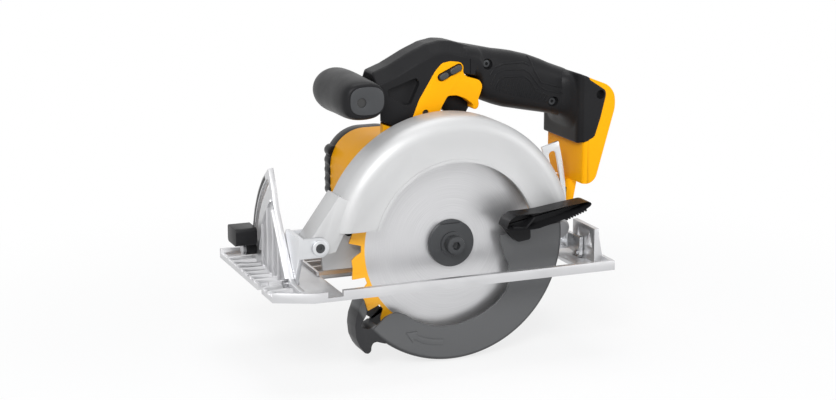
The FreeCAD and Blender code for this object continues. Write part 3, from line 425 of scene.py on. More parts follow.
def soften(node, width, segments=2, angle=32.0):
    mesh = nodes[node].data.copy()
    shape = bmesh.new()
    shape.from_mesh(mesh)
    bmesh.ops.remove_doubles(shape, verts=shape.verts, dist=0.000002)
    bmesh.ops.dissolve_limit(shape, angle_limit=math.radians(0.5), verts=shape.verts,
                             edges=shape.edges)
    shape.to_mesh(mesh)
    shape.free()
    piece = add_piece(node + "_soft", mesh, slot_of[node], body_name(node), (node,))
    bevel = piece.modifiers.new("edge", "BEVEL")
    bevel.width = width * MM
    bevel.segments = segments
    bevel.limit_method = "ANGLE"
    bevel.angle_limit = math.radians(angle)
    bevel.use_clamp_overlap = True
    apply_modifiers(piece)
    shade_by_angle(piece.data, 38)
    return piece


SOFT_EDGES = {
    "shoe": 0.5, "upper_guard": 0.6, "front_bracket": 0.35,
    "depth_bracket": 0.3, "bevel_lever": 0.9, "depth_lever": 0.8, "gear_case": 0.5,
    "motor_housing": 0.6, "motor_end_cap": 0.7, "lower_arm": 2.0, "trigger": 1.8,
    "spindle_lock": 0.8, "outer_flange": 0.5, "blade_screw": 0.5,
}
soft = {node: soften(node, width) for node, width in SOFT_EDGES.items()}
pin = soften("depth_pin", 0.6)
print("softened", {n: len(p.data.polygons) for n, p in soft.items()})

# %% [markdown]
# The handle, the trigger panel and the battery foot are drawn from the side: each one is an
# outline in the plane of the blade, given a thickness.  A slab is one face, extruded.  Its
# upright edges are the corners of the outline, and its rims are the edges of its two faces;
# the two kinds are rounded separately, as a pattern maker does it.

# %% Slabs from an outline
def thicken(shape, move):
    """Extrudes all the faces of a flat shape by a move in millimetres."""
    made = bmesh.ops.extrude_face_region(shape, geom=list(shape.faces))
    moved = [v for v in made["geom"] if isinstance(v, bmesh.types.BMVert)]
    bmesh.ops.translate(shape, verts=moved, vec=[m * MM for m in move])
    bmesh.ops.recalc_face_normals(shape, faces=shape.faces)
    return shape


def extrude_outline(points, move):
    shape = bmesh.new()
    shape.faces.new([shape.verts.new(Vector(point) * MM) for point in points])
    return thicken(shape, move)


def new_slab(points, near, far):
    return extrude_outline([(x, near, z) for x, z in points], (0, far - near, 0))


def bevel_edges(shape, edges, width, segments):
    if edges:
        bmesh.ops.bevel(shape, geom=edges, offset=width * MM, segments=segments, profile=0.5,
                        affect="EDGES", material=-1, clamp_overlap=True)
    return shape


def upright_edges(shape, keep=lambda x, z: True):
    chosen = []
    for edge in shape.edges:
        a, b = (v.co / MM for v in edge.verts)
        if abs(a.x - b.x) < 0.01 and abs(a.z - b.z) < 0.01 and keep(a.x, a.z):
            chosen.append(edge)
    return chosen


def rim_edges(shape, depth, keep=lambda x, z: True):
    chosen = []
    for edge in shape.edges:
        a, b = (v.co / MM for v in edge.verts)
        middle = (a + b) / 2
        if abs(a.y - depth) < 0.01 and abs(b.y - depth) < 0.01 and keep(middle.x, middle.z):
            chosen.append(edge)
    return chosen


def as_mesh(name, *shapes):
    mesh = bpy.data.meshes.new(name)
    whole = bmesh.new()
    for shape in shapes:
        part = bpy.data.meshes.new("part")
        shape.to_mesh(part)
        whole.from_mesh(part)
        bpy.data.meshes.remove(part)
        shape.free()
    whole.to_mesh(mesh)
    whole.free()
    return mesh


print("slab tools ready")

# %% [markdown]
# The upright quadrant of the shoe is a thin casting, so ribs stiffen its front: four upright
# ones, a hoop under the scale, and a flange along the sloping edge.

# %% Ribs of the quadrant
def rib_slab(points, front, back):
    """A slab across the travel of the saw, from an outline of (y, z) places."""
    shape = extrude_outline([(front, y, z) for y, z in points], (back - front, 0, 0))
    long_edges = [e for e in shape.edges if all(abs(v.co.x - front * MM) < 1e-6 for v in e.verts)]
    return bevel_edges(shape, long_edges, 0.4, 2)


QUADRANT_FACE = -131.0
UPRIGHTS = [(17, 38.5), (30, 58.5), (43.5, 55), (57, 38.8)]


def build_shoe_ribs():
    back = QUADRANT_FACE + 0.2
    ribs = [rib_slab([(y, 3), (y + 1.8, 3), (y + 1.6, top), (y + 0.2, top)],
                     QUADRANT_FACE - 1.8, back) for y, top in UPRIGHTS]
    arc = [math.radians(9 + 48 * i / 24) for i in range(25)]
    hoop = [(67.4 * math.cos(a), 6 + 67.4 * math.sin(a)) for a in arc]
    hoop += [(65.8 * math.cos(a), 6 + 65.8 * math.sin(a)) for a in reversed(arc)]
    ribs.append(rib_slab(hoop, QUADRANT_FACE - 1.3, back))
    ribs.append(rib_slab([(-3.6, 11), (28.6, 56.6), (31.2, 55.2), (-1, 9.6)],
                         QUADRANT_FACE - 2.8, back))
    piece = add_piece("quadrant_ribs", as_mesh("quadrant_ribs", *ribs), "shoe_casting", "shoe")
    shade_by_angle(piece.data, 35)
    return piece


quadrant_ribs = build_shoe_ribs()
print("quadrant ribs", len(quadrant_ribs.data.polygons))

# %% [markdown]
# Soft overmoulded rubber has no hard edge anywhere: shapes flow into each other.  Overlapping
# slabs are wrapped in one skin by a voxel remesh, and a smoothing pass then melts the joins.
# Recesses are carved out of that skin afterwards, so that they stay crisp.

# %% Melting and carving
def melt(piece, voxel, rounds, factor=0.5):
    skin = piece.modifiers.new("skin", "REMESH")
    skin.mode = "VOXEL"
    skin.voxel_size = voxel * MM
    skin.use_smooth_shade = True
    if rounds:
        smooth = piece.modifiers.new("melt", "SMOOTH")
        smooth.factor = factor
        smooth.iterations = rounds
    apply_modifiers(piece)
    return piece


def carve(piece, *shapes):
    for shape in shapes:
        tool = bpy.data.objects.new("tool", as_mesh("tool", shape))
        bpy.context.scene.collection.objects.link(tool)
        cut = piece.modifiers.new("cut", "BOOLEAN")
        cut.operation = "DIFFERENCE"
        cut.solver = "EXACT"
        cut.object = tool
        apply_modifiers(piece)
        mesh = tool.data
        bpy.data.objects.remove(tool)
        bpy.data.meshes.remove(mesh)
    return piece


def new_rod(place, radius, near, far, segments=32):
    """A rod across the saw, at a place in the plane of the blade."""
    shape = bmesh.new()
    bmesh.ops.create_cone(shape, cap_ends=True, segments=segments, radius1=radius * MM,
                          radius2=radius * MM, depth=(far - near) * MM,
                          matrix=Matrix.Translation(Vector((place[0], (near + far) / 2,
                                                            place[1])) * MM)
                          @ Matrix.Rotation(math.pi / 2, 4, "X"))
    return shape


def new_ring(shape, place, half_a, half_b, power, axis="Y", segments=48):
    """A hoop round an axis through a place: a circle at power 2, squarer above it."""
    made = bmesh.ops.create_circle(shape, cap_ends=False, radius=1.0, segments=segments)
    for vert in made["verts"]:
        a, b = vert.co.x, vert.co.y
        reach = (abs(a) ** power + abs(b) ** power) ** (-1.0 / power)
        a, b = a * reach * half_a, b * reach * half_b
        offset = (a, 0, b) if axis == "Y" else (0, a, b)
        vert.co = (Vector(place) + Vector(offset)) * MM
    return made["verts"]


def ring_edges(verts):
    chosen = set(verts)
    return list({e for v in verts for e in v.link_edges if all(w in chosen for w in e.verts)})


def close_rings(shape, rings):
    for low, high in zip(rings, rings[1:]):
        bmesh.ops.bridge_loops(shape, edges=ring_edges(low) + ring_edges(high))
    for end in (rings[0], rings[-1]):
        bmesh.ops.contextual_create(shape, geom=ring_edges(end))
    bmesh.ops.recalc_face_normals(shape, faces=shape.faces)
    return shape


print("carving tools ready")

# %% [markdown]
# The pivot of the depth adjustment is a screw: its head has a deep round recess, which a tool with
# a square tip turns.  The bottom of the recess is a dark disc, painted shade for the depth of the
# recess.

# %% Recess of the depth screw
(PIN_LOW, PIN_HIGH) = [[v / MM for v in c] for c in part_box("depth_pin")]
PIN_PLACE = ((PIN_LOW[0] + PIN_HIGH[0]) / 2, (PIN_LOW[2] + PIN_HIGH[2]) / 2)
carve(pin, new_rod(PIN_PLACE, 3.6, PIN_LOW[1] - 2, PIN_LOW[1] + 2.2))
shade_by_angle(pin.data, 35)
# Painted shade: a dark disc at the bottom of the recess stands in for its shadowed depth.
recess_shade_disc = new_rod(PIN_PLACE, 3.5, PIN_LOW[1] + 1.2, PIN_LOW[1] + 2.6)
recess = add_piece("depth_screw_recess_shade", as_mesh("depth_screw_recess_shade", recess_shade_disc), "guard_dark",
                   body_name("depth_pin"))
carve(recess, new_rod(PIN_PLACE, 1.6, PIN_LOW[1], PIN_LOW[1] + 2.0, 6))
shade_by_angle(recess.data, 35)
print("recess", len(recess.data.polygons))

# %% [markdown]
# The main handle has two regions.  In front, an arm rises from the guard to a hump, with a
# broad flat chamfer along its top.  Behind the hump comes the grip, rounded for the palm.
# Each is a slab with its own rim, and one skin joins them.

# %% Main handle
NEAR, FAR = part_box("grip_left")[0][1] / MM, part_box("grip_right")[1][1] / MM
ARM_TOP = [(-52, 155.5), (-39, 160.5), (-22, 169.5), (-8, 175.5), (3, 177.6), (12, 176.8),
           (30, 171.6)]
ARM_LOW = [(30, 150), (19, 152), (15, 160.5), (2, 158.5), (-23, 116.5), (-34, 113.2), (-47.5, 119),
           (-48.5, 132)]
GRIP = [  # place along the saw, top, bottom, squareness
    (23, 173.6, 151.5, 2.4), (29, 172.6, 148.5, 2.4), (35.4, 171.2, 144.8, 2.4),
    (37.4, 170.8, 130.5, 2.5), (41, 170, 127.6, 2.5), (51, 167.8, 123.7, 2.5),
    (59, 166.6, 121.2, 2.5), (67, 165.2, 119.6, 2.5), (81, 161.6, 116.8, 2.5),
    (92, 157.4, 114.8, 2.6), (100, 153.8, 113.2, 2.7), (108, 150.8, 111, 2.8),
    (114, 148.6, 108, 3.0)]


def build_handle():
    arm = new_slab(ARM_TOP + ARM_LOW, NEAR, FAR)
    for depth in (NEAR, FAR):
        bevel_edges(arm, rim_edges(arm, depth, lambda x, z: z > 154 and x < 29 and
                                   z > 172 - 0.42 * abs(x + 2) - 6), 9.0, 1)
    grip = bmesh.new()
    middle, half = (NEAR + FAR) / 2, (FAR - NEAR) / 2
    close_rings(grip, [new_ring(grip, (x, middle, (top + low) / 2), half, (top - low) / 2,
                                power, "X") for x, top, low, power in GRIP])
    piece = add_piece("main_handle", as_mesh("main_handle", arm, grip), "grip_rubber", "saw_body",
                      ("grip_left", "grip_right"))
    return melt(piece, 1.0, 5)


handle = build_handle()
print("handle faces", len(handle.data.polygons))

# %% [markdown]
# The arm carries a three-cornered pocket, which saves material and stiffens the wall, and its
# foot narrows towards the far side, where the neck meets the motor housing.
# Each grip screw sits at the bottom of a short round well.

# %% Pocket and screw wells
POCKET = [(-42.5, 143.6), (-19.3, 151.3), (-16.2, 147), (-23.6, 131), (-28, 130.6), (-42, 138)]
SCREWS = [(40.6, 158.0), (97.6, 125.0)]
NECK_LOW, NECK_HEIGHT = 60.0, 66.5
HANDLE_MIDDLE = 38.0


def pocket_tool(near, far):
    tool = new_slab(POCKET, near, far)
    bevel_edges(tool, upright_edges(tool), 1.6, 3)
    return bevel_edges(tool, rim_edges(tool, far if near < HANDLE_MIDDLE else near), 0.8, 2)


def neck_wedge():
    """Upright wedge in front of the neck, which narrows it towards the far side."""
    plan = [(-62, NEAR - 4), (-50, NEAR - 4), (-48.6, NEAR + 0.5), (-34.6, FAR), (-33.2, FAR + 4),
            (-62, FAR + 4)]
    return extrude_outline([(x, y, NECK_LOW) for x, y in plan], (0, 0, NECK_HEIGHT))


carve(handle, pocket_tool(NEAR - 4, NEAR + 5.5), neck_wedge())
for place in SCREWS:
    carve(handle, new_rod(place, 4.2, NEAR - 5, NEAR + 4.6))
shade_by_angle(handle.data, 40)
for number, place in enumerate(SCREWS, 1):
    head = new_rod(place, 3.1, NEAR + 3.4, NEAR + 26)
    bevel_edges(head, rim_edges(head, NEAR + 3.4), 0.6, 3)
    name = f"handle_screw_{number}"
    screw = add_piece(f"grip_screw_{number}", as_mesh(name, head), "guard_dark", "saw_body",
                      (name,))
    carve(screw, new_rod(place, 1.5, NEAR, NEAR + 5.4, 6))
    shade_by_angle(screw.data, 35)
print("carved", len(handle.data.polygons))

# %% [markdown]
# Raised lines and ribs on the grip follow its curved side.  To lay a rib on a surface, a ray
# is dropped on it at each point of the rib's path, and a thin round bead is drawn through the
# points that the rays hit, sunk by most of its radius.

# %% Beads laid on a surface
RAY_START = 80.0


def lay_bead(surface, path, radius, sink, side):
    """A bead along a path of (x, z) places, on the near (side 1) or far (side -1) wall."""
    points = []
    for (x0, z0), (x1, z1) in zip(path, path[1:]):
        steps = max(1, round(math.hypot(x1 - x0, z1 - z0) / 1.5))
        points += [(x0 + (x1 - x0) * i / steps, z0 + (z1 - z0) * i / steps)
                   for i in range(steps)]
    points.append(path[-1])
    hits = []
    for x, z in points:
        start = Vector((x, HANDLE_MIDDLE - side * RAY_START, z)) * MM
        found, spot, *_ = surface.ray_cast(start, Vector((0, side, 0)))
        if found:
            hits.append(spot + Vector((0, side, 0)) * sink * MM)
    curve = bpy.data.curves.new("bead", "CURVE")
    curve.dimensions = "3D"
    curve.bevel_depth = radius * MM
    curve.bevel_resolution = 2
    curve.use_fill_caps = True
    line = curve.splines.new("POLY")
    line.points.add(len(hits) - 1)
    for point, hit in zip(line.points, hits):
        point.co = (*hit, 1)
    obj = bpy.data.objects.new("bead", curve)
    bpy.context.scene.collection.objects.link(obj)
    bpy.context.view_layer.update()
    graph = bpy.context.evaluated_depsgraph_get()
    mesh = bpy.data.meshes.new_from_object(obj.evaluated_get(graph))
    bpy.data.objects.remove(obj)
    bpy.data.curves.remove(curve)
    return mesh


def join_beads(name, meshes, finish, body):
    whole = bmesh.new()
    for mesh in meshes:
        whole.from_mesh(mesh)
        bpy.data.meshes.remove(mesh)
    bmesh.ops.recalc_face_normals(whole, faces=whole.faces)
    for face in whole.faces:
        face.smooth = True
    mesh = bpy.data.meshes.new(name)
    whole.to_mesh(mesh)
    whole.free()
    return add_piece(name, mesh, finish, body)


LINES = [
    [(42.2, 149.5), (46, 155), (54, 157.2), (72, 157.2), (77, 154.5)],
    [(42.8, 142), (47, 150.4), (54.4, 152.8), (71.5, 152), (76.5, 148.8), (84.2, 138.5),
     (89.5, 135.2), (109, 129.8), (113, 133)],
    [(46, 138.6), (49.6, 145.4), (54.4, 147.4), (71.5, 146.9), (76.5, 143), (82, 134.6),
     (92, 130.5)],
    [(78.2, 161), (80.8, 150.2), (86, 141.2), (109, 134.6), (112.5, 137.5), (113, 143)],
]


def grip_texture(side):
    label = "near" if side > 0 else "far"
    meshes = [lay_bead(handle, path, 0.8, 0.25, side) for path in LINES]
    for i in range(15):
        share = i / 14
        x = 50.5 + 43 * share
        top = 145.2 - 15.5 * max(0.0, (share - 0.42) / 0.58) ** 0.9
        low = 136.5 - 11.5 * share
        meshes.append(lay_bead(handle, [(x - 2.2, low), (x + 0.6, top)], 0.95, 0.35, side))
    return join_beads("grip_lines_" + label, meshes, "grip_rubber", "saw_body")


textures = [grip_texture(side) for side in (1, -1)]
print("beads", [len(t.data.polygons) for t in textures])

# %% [markdown]
# The seam between the hard arm and the soft grip is a thin joint line.  It is cut as a groove
# round the handle, just behind the hump.

# %% Joint line
SEAM_X = 25.2
for near, far in ((NEAR - 2, NEAR + 0.7), (FAR - 0.7, FAR + 2)):
    carve(handle, new_slab([(SEAM_X, 149), (SEAM_X + 0.7, 149), (SEAM_X + 0.7, 163),
                            (SEAM_X, 163)], near, far))
shade_by_angle(handle.data, 40)
print("seam cut")

# %% [markdown]
# The trigger panel is the yellow moulding that frames the trigger.  It is a separate slab, a
# touch wider than the black handle, with rounded corners, and its rims catch a fine highlight.
# Below the trigger it runs down behind the guard, as the neck that carries the handle.

# %% Trigger panel and neck
PANEL_OUTLINE = [(-23.6, 117.3), (-17.3, 133.5), (-3.8, 155.4), (1.8, 161.2), (8.4, 162.4),
                 (17.2, 161.2), (19.9, 158), (19.4, 153), (22.4, 149.6), (33.2, 146.4),
                 (35.9, 142), (34.6, 137), (32.2, 131), (33.2, 127.2), (31.2, 123.6),
                 (27.4, 124), (28.4, 127.2), (21.2, 132.8), (14, 135.6), (6.8, 135.6),
                 (1.6, 127), (-0.2, 121.8), (-0.2, 72), (-44, 72), (-46.5, 96), (-46.5, 117.2),
                 (-34.2, 112.2)]


def build_panel():
    slab = new_slab(PANEL_OUTLINE, NEAR - 0.5, FAR + 0.5)
    bevel_edges(slab, upright_edges(slab, lambda x, z: z > 118), 1.6, 3)
    for depth in (NEAR - 0.5, FAR + 0.5):
        bevel_edges(slab, rim_edges(slab, depth), 1.0, 3)
    piece = add_piece("trigger_panel", as_mesh("trigger_panel", slab), "yellow_plastic",
                      "saw_body", ("handle_shell_left", "handle_shell_right"))
    shade_by_angle(piece.data, 40)
    return piece


panel = build_panel()
TRIGGER_BOX = [[v / MM for v in corner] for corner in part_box("trigger")]
carve(panel, new_slab([(3, 115), (3, 139), (35, 139), (35, 115)], TRIGGER_BOX[0][1] - 0.8,
                      TRIGGER_BOX[1][1] + 0.8), neck_wedge())
print("panel faces", len(panel.data.polygons))

# %% [markdown]
# The battery foot is a yellow shell with the rails of the battery in its rear face.  It comes
# from one slab; the rail slot is two boxes carved out of the sloping face.  A black cap wraps
# its front and its near side, and the grip runs into that cap.

# %% Battery foot
FOOT = [(117, 146.5), (141, 137), (145, 124), (127, 60), (117, 60)]
FOOT_NEAR, FOOT_FAR = (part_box("battery_boot")[i][1] / MM for i in (0, 1))
BAY_DEPTH, BAY_HALF, RAIL_DEPTH, RAIL_LIP = 6.5, 25.0, 3.5, 3.0


def bay_tool(out_low, out_high, half, up_low, up_high):
    """A box in the bay's own frame: up the rear face, and out of it."""
    (x1, z1), (x0, z0) = FOOT[2], FOOT[3]
    tilt = math.atan2(x1 - x0, z1 - z0)
    middle = (FOOT_NEAR + FOOT_FAR) / 2
    shape = bmesh.new()
    bmesh.ops.create_cube(shape, size=1.0)
    size = Vector((out_high - out_low, 2 * half, up_high - up_low)) * MM
    centre = Vector(((out_low + out_high) / 2, 0, (up_low + up_high) / 2)) * MM
    bmesh.ops.scale(shape, verts=shape.verts, vec=size)
    bmesh.ops.translate(shape, verts=shape.verts, vec=centre)
    place = Matrix.Translation(Vector((x0, middle, z0)) * MM) @ Matrix.Rotation(tilt, 4, "Y")
    bmesh.ops.transform(shape, verts=shape.verts, matrix=place)
    return shape


def build_foot():
    slab = new_slab(FOOT, FOOT_NEAR, FOOT_FAR)
    bevel_edges(slab, upright_edges(slab, lambda x, z: x > 120), 7.0, 6)
    for depth in (FOOT_NEAR, FOOT_FAR):
        bevel_edges(slab, rim_edges(slab, depth, lambda x, z: x < 117.5), 7.5, 7)
        bevel_edges(slab, rim_edges(slab, depth), 3.0, 4)
    piece = add_piece("battery_foot", as_mesh("battery_foot", slab), "yellow_plastic",
                      "saw_body", ("battery_boot",))
    carve(piece, bay_tool(-BAY_DEPTH, 9, BAY_HALF, -30, 58),
          bay_tool(-BAY_DEPTH, -RAIL_LIP, BAY_HALF + RAIL_DEPTH, -30, 50))
    shade_by_angle(piece.data, 38)
    return piece


foot = build_foot()
CAP_SIDE = [(116.2, 146.6), (116.2, 93.4), (120.1, 94.4), (128.2, 98.4), (132.6, 111.8),
            (137.2, 130.2), (136.9, 133.2), (133.6, 135.5), (124.4, 141.4)]
CAP_FRONT = [(112.8, 148.6), (112.8, 92.2), (121, 94.6), (121, 145.2)]
CAP_HOLE = (130.5, 131.2)
FLARE = [  # place along the saw, middle height, half width, half height, squareness
    (103, 132, 17.4, 19, 2.7), (106.5, 131, 19.4, 19.2, 2.8), (109.5, 129, 22.5, 19.8, 3.0),
    (112, 126, 26.5, 22, 3.4), (115, 122, 30, 24.6, 4.0)]


def build_cap():
    side = new_slab(CAP_SIDE, FOOT_NEAR - 0.7, 30)
    bevel_edges(side, rim_edges(side, FOOT_NEAR - 0.7, lambda x, z: x > 127 and z > 99
                                and z < 134), 2.2, 1)
    front = new_slab(CAP_FRONT, FOOT_NEAR - 0.7, FOOT_FAR + 0.6)
    bevel_edges(front, rim_edges(front, FOOT_NEAR - 0.7, lambda x, z: x < 114), 7.6, 6)
    bevel_edges(front, rim_edges(front, FOOT_FAR + 0.6, lambda x, z: x < 114), 4.0, 4)
    flare = bmesh.new()
    middle = (NEAR + FAR) / 2
    close_rings(flare, [new_ring(flare, (x, middle, z), half_y, half_z, power, "X")
                        for x, z, half_y, half_z, power in FLARE])
    piece = add_piece("foot_cap", as_mesh("foot_cap", side, front, flare), "grip_rubber",
                      "saw_body")
    melt(piece, 0.9, 6)
    carve(piece, new_rod(CAP_HOLE, 3.6, FOOT_NEAR - 4, FOOT_NEAR + 6))
    shade_by_angle(piece.data, 40)
    return piece


def hole_shade_disc(name, place, radius, near, far, finish="carbon"):
    """A black disc that closes the bottom of a screw hole: painted shade for the dark depth of the
    hole.
    """
    add_piece(name, as_mesh(name, new_rod(place, radius, near, far)), finish, "saw_body")


cap = build_cap()
carve(foot, new_rod(CAP_HOLE, 4.3, FOOT_NEAR - 4, FOOT_NEAR + 9))
shade_by_angle(foot.data, 38)
# Painted shade: a black disc at the bottom of the foot's screw hole stands in for its dark depth.
hole_shade_disc("foot_hole_shade_floor", CAP_HOLE, 4.2, FOOT_NEAR + 4, FOOT_NEAR + 9.5, "black_plastic")
print("foot", len(foot.data.polygons), "cap", len(cap.data.polygons))

# %% [markdown]
# The end cap of the motor has finger ribs round its front edge, which give it a wavy outline.

# %% Ribs of the end cap
(CAP_LOW, CAP_HIGH) = [[v / MM for v in c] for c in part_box("motor_end_cap")]
RIB_TOP, RIB_PITCH, RIB_RADIUS = 72.5, 8.2, 5.0
RIB_ENDS = (CAP_LOW[1] - 1.0, CAP_HIGH[1] - 2.0)
ribs = []
for i in range(5):
    rib = new_rod((CAP_LOW[0] + 3.4, RIB_TOP - RIB_PITCH * i), RIB_RADIUS, *RIB_ENDS, 24)
    bevel_edges(rib, rim_edges(rib, RIB_ENDS[0]) + rim_edges(rib, RIB_ENDS[1]), 1.2, 3)
    ribs.append(rib)
cap_ribs = add_piece("end_cap_ribs", as_mesh("end_cap_ribs", *ribs), slot_of["motor_end_cap"],
                     "saw_body")
shade_by_angle(cap_ribs.data, 35)
print("end cap ribs", len(cap_ribs.data.polygons))

# %% [markdown]
# The auxiliary handle is a bulb that lies across the front of the saw.  Rings are drawn at
# several depths and bridged, like the hoops of a barrel; near the end they are squarer, like a
# rounded box, and a flat hard plate with a screw hole closes it.

# %% Auxiliary handle
RINGS = [  # depth, middle x and z, half width, half height, squareness
    (0.9, -66.4, 139.4, 13.6, 10.8, 2.8), (1.1, -66.6, 139.3, 14.6, 12.0, 2.8),
    (4.0, -67.6, 138.9, 16.4, 14.2, 2.7), (10, -68, 138.8, 16.9, 15.2, 2.5),
    (22, -68.2, 138.6, 17.1, 16.2, 2.3), (38, -67.4, 138.6, 17.3, 17.0, 2.1),
    (55, -66.2, 138, 17.8, 17.4, 2.0), (70, -65, 137, 18.6, 17.5, 2.0),
    (80, -64.2, 136.6, 18.0, 17, 2.0), (88, -63.6, 136, 15.8, 15, 2.0),
    (93.5, -63.2, 135.6, 11.6, 11, 2.0), (95.8, -63, 135.4, 5.5, 5.2, 2.0)]
HOLE_PLACE = (-70.8, 138.4)
PLATE_FACE, PLATE_THICKNESS = 0.05, 1.6


def build_auxiliary():
    shape = bmesh.new()
    close_rings(shape, [new_ring(shape, (x, y, z), half_x, half_z, power)
                        for y, x, z, half_x, half_z, power in RINGS])
    piece = add_piece("auxiliary_grip", as_mesh("auxiliary_grip", shape), "grip_rubber",
                      "saw_body", ("auxiliary_handle",))
    subdivide = piece.modifiers.new("round", "SUBSURF")
    subdivide.levels = subdivide.render_levels = 1
    apply_modifiers(piece)
    carve(piece, new_rod(HOLE_PLACE, 4.0, -2, 11))
    shade_by_angle(piece.data, 35)
    return piece


def build_end_plate():
    shape = bmesh.new()
    outer = new_ring(shape, (-66.3, PLATE_FACE, 139.4), 13.3, 10.5, 2.8)
    inner = new_ring(shape, (HOLE_PLACE[0], PLATE_FACE, HOLE_PLACE[1]), 3.6, 3.6, 2.0)
    bmesh.ops.bridge_loops(shape, edges=ring_edges(outer) + ring_edges(inner))
    thicken(shape, (0, PLATE_THICKNESS, 0))
    rims = [e for e in shape.edges if all(abs(v.co.y - PLATE_FACE * MM) < 1e-6 for v in e.verts)
            and e.calc_face_angle(0.0) > 0.5]
    bevel_edges(shape, rims, 0.4, 2)
    piece = add_piece("auxiliary_plate", as_mesh("auxiliary_plate", shape), "guard_dark",
                      "saw_body")
    shade_by_angle(piece.data, 35)
    return piece


auxiliary = build_auxiliary()
end_plate = build_end_plate()
# Painted shade: a black disc at the bottom of the auxiliary handle's screw hole stands in for its
# dark depth.
hole_shade_disc("auxiliary_hole_shade_floor", HOLE_PLACE, 3.9, 1.0, 2.6)
print("auxiliary", len(auxiliary.data.polygons), len(end_plate.data.polygons))

# %% [markdown]
# The lock-off is a small slider through the panel: two hard pads on a dark bar, in an oblong
# well.  It rides on its own body, because it is pressed in before the trigger moves.

# %% Lock-off slider
LOCK_LINE = ((1.2, 150.4), (15.6, 157.0))
PANEL_HOLE = (-11.7, 123.6)


def oblong(start, end, radius, near, far):
    angle = math.atan2(end[1] - start[1], end[0] - start[0])
    points = []
    for centre, base in ((end, angle - math.pi / 2), (start, angle + math.pi / 2)):
        points += [(centre[0] + radius * math.cos(base + math.pi * i / 8),
                    centre[1] + radius * math.sin(base + math.pi * i / 8)) for i in range(9)]
    return new_slab(points, near, far)


def along(share):
    (x0, z0), (x1, z1) = LOCK_LINE
    return (x0 + (x1 - x0) * share, z0 + (z1 - z0) * share)


def build_slider():
    bar = oblong(along(0.1), along(0.9), 2.6, NEAR - 1.0, NEAR + 9)
    bevel_edges(bar, rim_edges(bar, NEAR - 1.0), 0.8, 2)
    pads = []
    for low, high in ((0.02, 0.22), (0.62, 0.98)):
        pad = oblong(along(low), along(high), 2.4, NEAR - 2.8, NEAR + 2)
        pads.append(bevel_edges(pad, rim_edges(pad, NEAR - 2.8), 0.9, 3))
    piece = add_piece("lock_off_slider", as_mesh("lock_off_slider", bar),
                      "black_plastic", "lock_off_button", ("lock_off_button",))
    caps = add_piece("lock_off_pads", as_mesh("lock_off_pads", *pads), "guard_dark",
                     "lock_off_button")
    for part in (piece, caps):
        shade_by_angle(part.data, 35)
    return piece


carve(panel, oblong(along(0.0), along(1.0), 3.2, NEAR - 6, NEAR + 7),
      new_rod(PANEL_HOLE, 2.7, NEAR - 4, NEAR + 4))
# Painted shade: a black disc at the bottom of the panel's screw hole stands in for its dark depth.
hole_shade_disc("panel_hole_shade_floor", PANEL_HOLE, 2.9, NEAR + 1.5, NEAR + 4.5)
carve(handle, oblong(along(0.0), along(1.0), 3.3, NEAR - 6, NEAR + 14))
slider = build_slider()
for piece in (panel, handle):
    shade_by_angle(piece.data, 40)
print("slider", len(slider.data.polygons))

# %% [markdown]
# The lower guard is a thin casting swept round the arbor: a near wall, a rounded rim and a far
# wall.  The inner edge of the near wall wanders, with a bulge at the front, so each section of
# the sweep has its own inner radius.  The toe in front is a hook, and an arrow stands proud.

# %% Lower guard
(_, GUARD_NEAR, _), (_, GUARD_FAR, _) = [[v / MM for v in c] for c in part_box("lower_guard")]
GUARD_OUTER, GUARD_WALL = 91.5, 2.0
INNER_EDGE = [(-136.5, 86.5), (-138.4, 81.9), (-138.2, 76.5), (-136.4, 70.5), (-133.5, 66.8),
              (-128.1, 64.9), (-120, 65.1), (-110, 64.8), (-98, 64.4), (-88, 63.6), (-78, 62.4),
              (-57, 61.5), (-46, 60.5), (-37, 58), (-26, 51), (-15, 43), (-3, 39), (6, 38.2)]


def guard_place(radius, degrees, depth):
    turn = math.radians(degrees)
    return Vector((radius * math.cos(turn), depth, ARBOR_HEIGHT + radius * math.sin(turn))) * MM


def inner_radius(degrees):
    edge = INNER_EDGE[1:]
    for (a, low), (b, high) in zip(edge, edge[1:]):
        if a <= degrees <= b:
            share = (degrees - a) / (b - a)
            share = share * share * (3 - 2 * share) if degrees > -60 else share
            return low + (high - low) * share
    return edge[0][1]


def guard_section(shape, degrees, inner):
    corner = [(GUARD_OUTER - 3.6 * (1 - math.sin(math.radians(a))),
               GUARD_NEAR + 3.6 * (1 - math.cos(math.radians(a)))) for a in range(0, 91, 18)]
    back = GUARD_FAR - GUARD_WALL
    points = [(inner, GUARD_NEAR + 0.5), (inner + 0.5, GUARD_NEAR)] + corner
    points += [(GUARD_OUTER, GUARD_FAR - 0.6), (GUARD_OUTER - 0.6, GUARD_FAR), (23.5, GUARD_FAR),
               (23.5, back), (GUARD_OUTER - 3, back), (GUARD_OUTER - 3, GUARD_NEAR + GUARD_WALL),
               (inner, GUARD_NEAR + GUARD_WALL)]
    return [shape.verts.new(guard_place(r, degrees, y)) for r, y in points]


def sweep(shape, sections):
    for low, high in zip(sections, sections[1:]):
        for i in range(len(low)):
            j = (i + 1) % len(low)
            shape.faces.new((low[i], low[j], high[j], high[i]))
    shape.faces.new(sections[0])
    shape.faces.new(reversed(sections[-1]))
    bmesh.ops.recalc_face_normals(shape, faces=shape.faces)
    return shape


def polar_slab(points, near, far):
    return new_slab([(r * math.cos(math.radians(a)),
                      ARBOR_HEIGHT + r * math.sin(math.radians(a))) for r, a in points],
                    near, far)


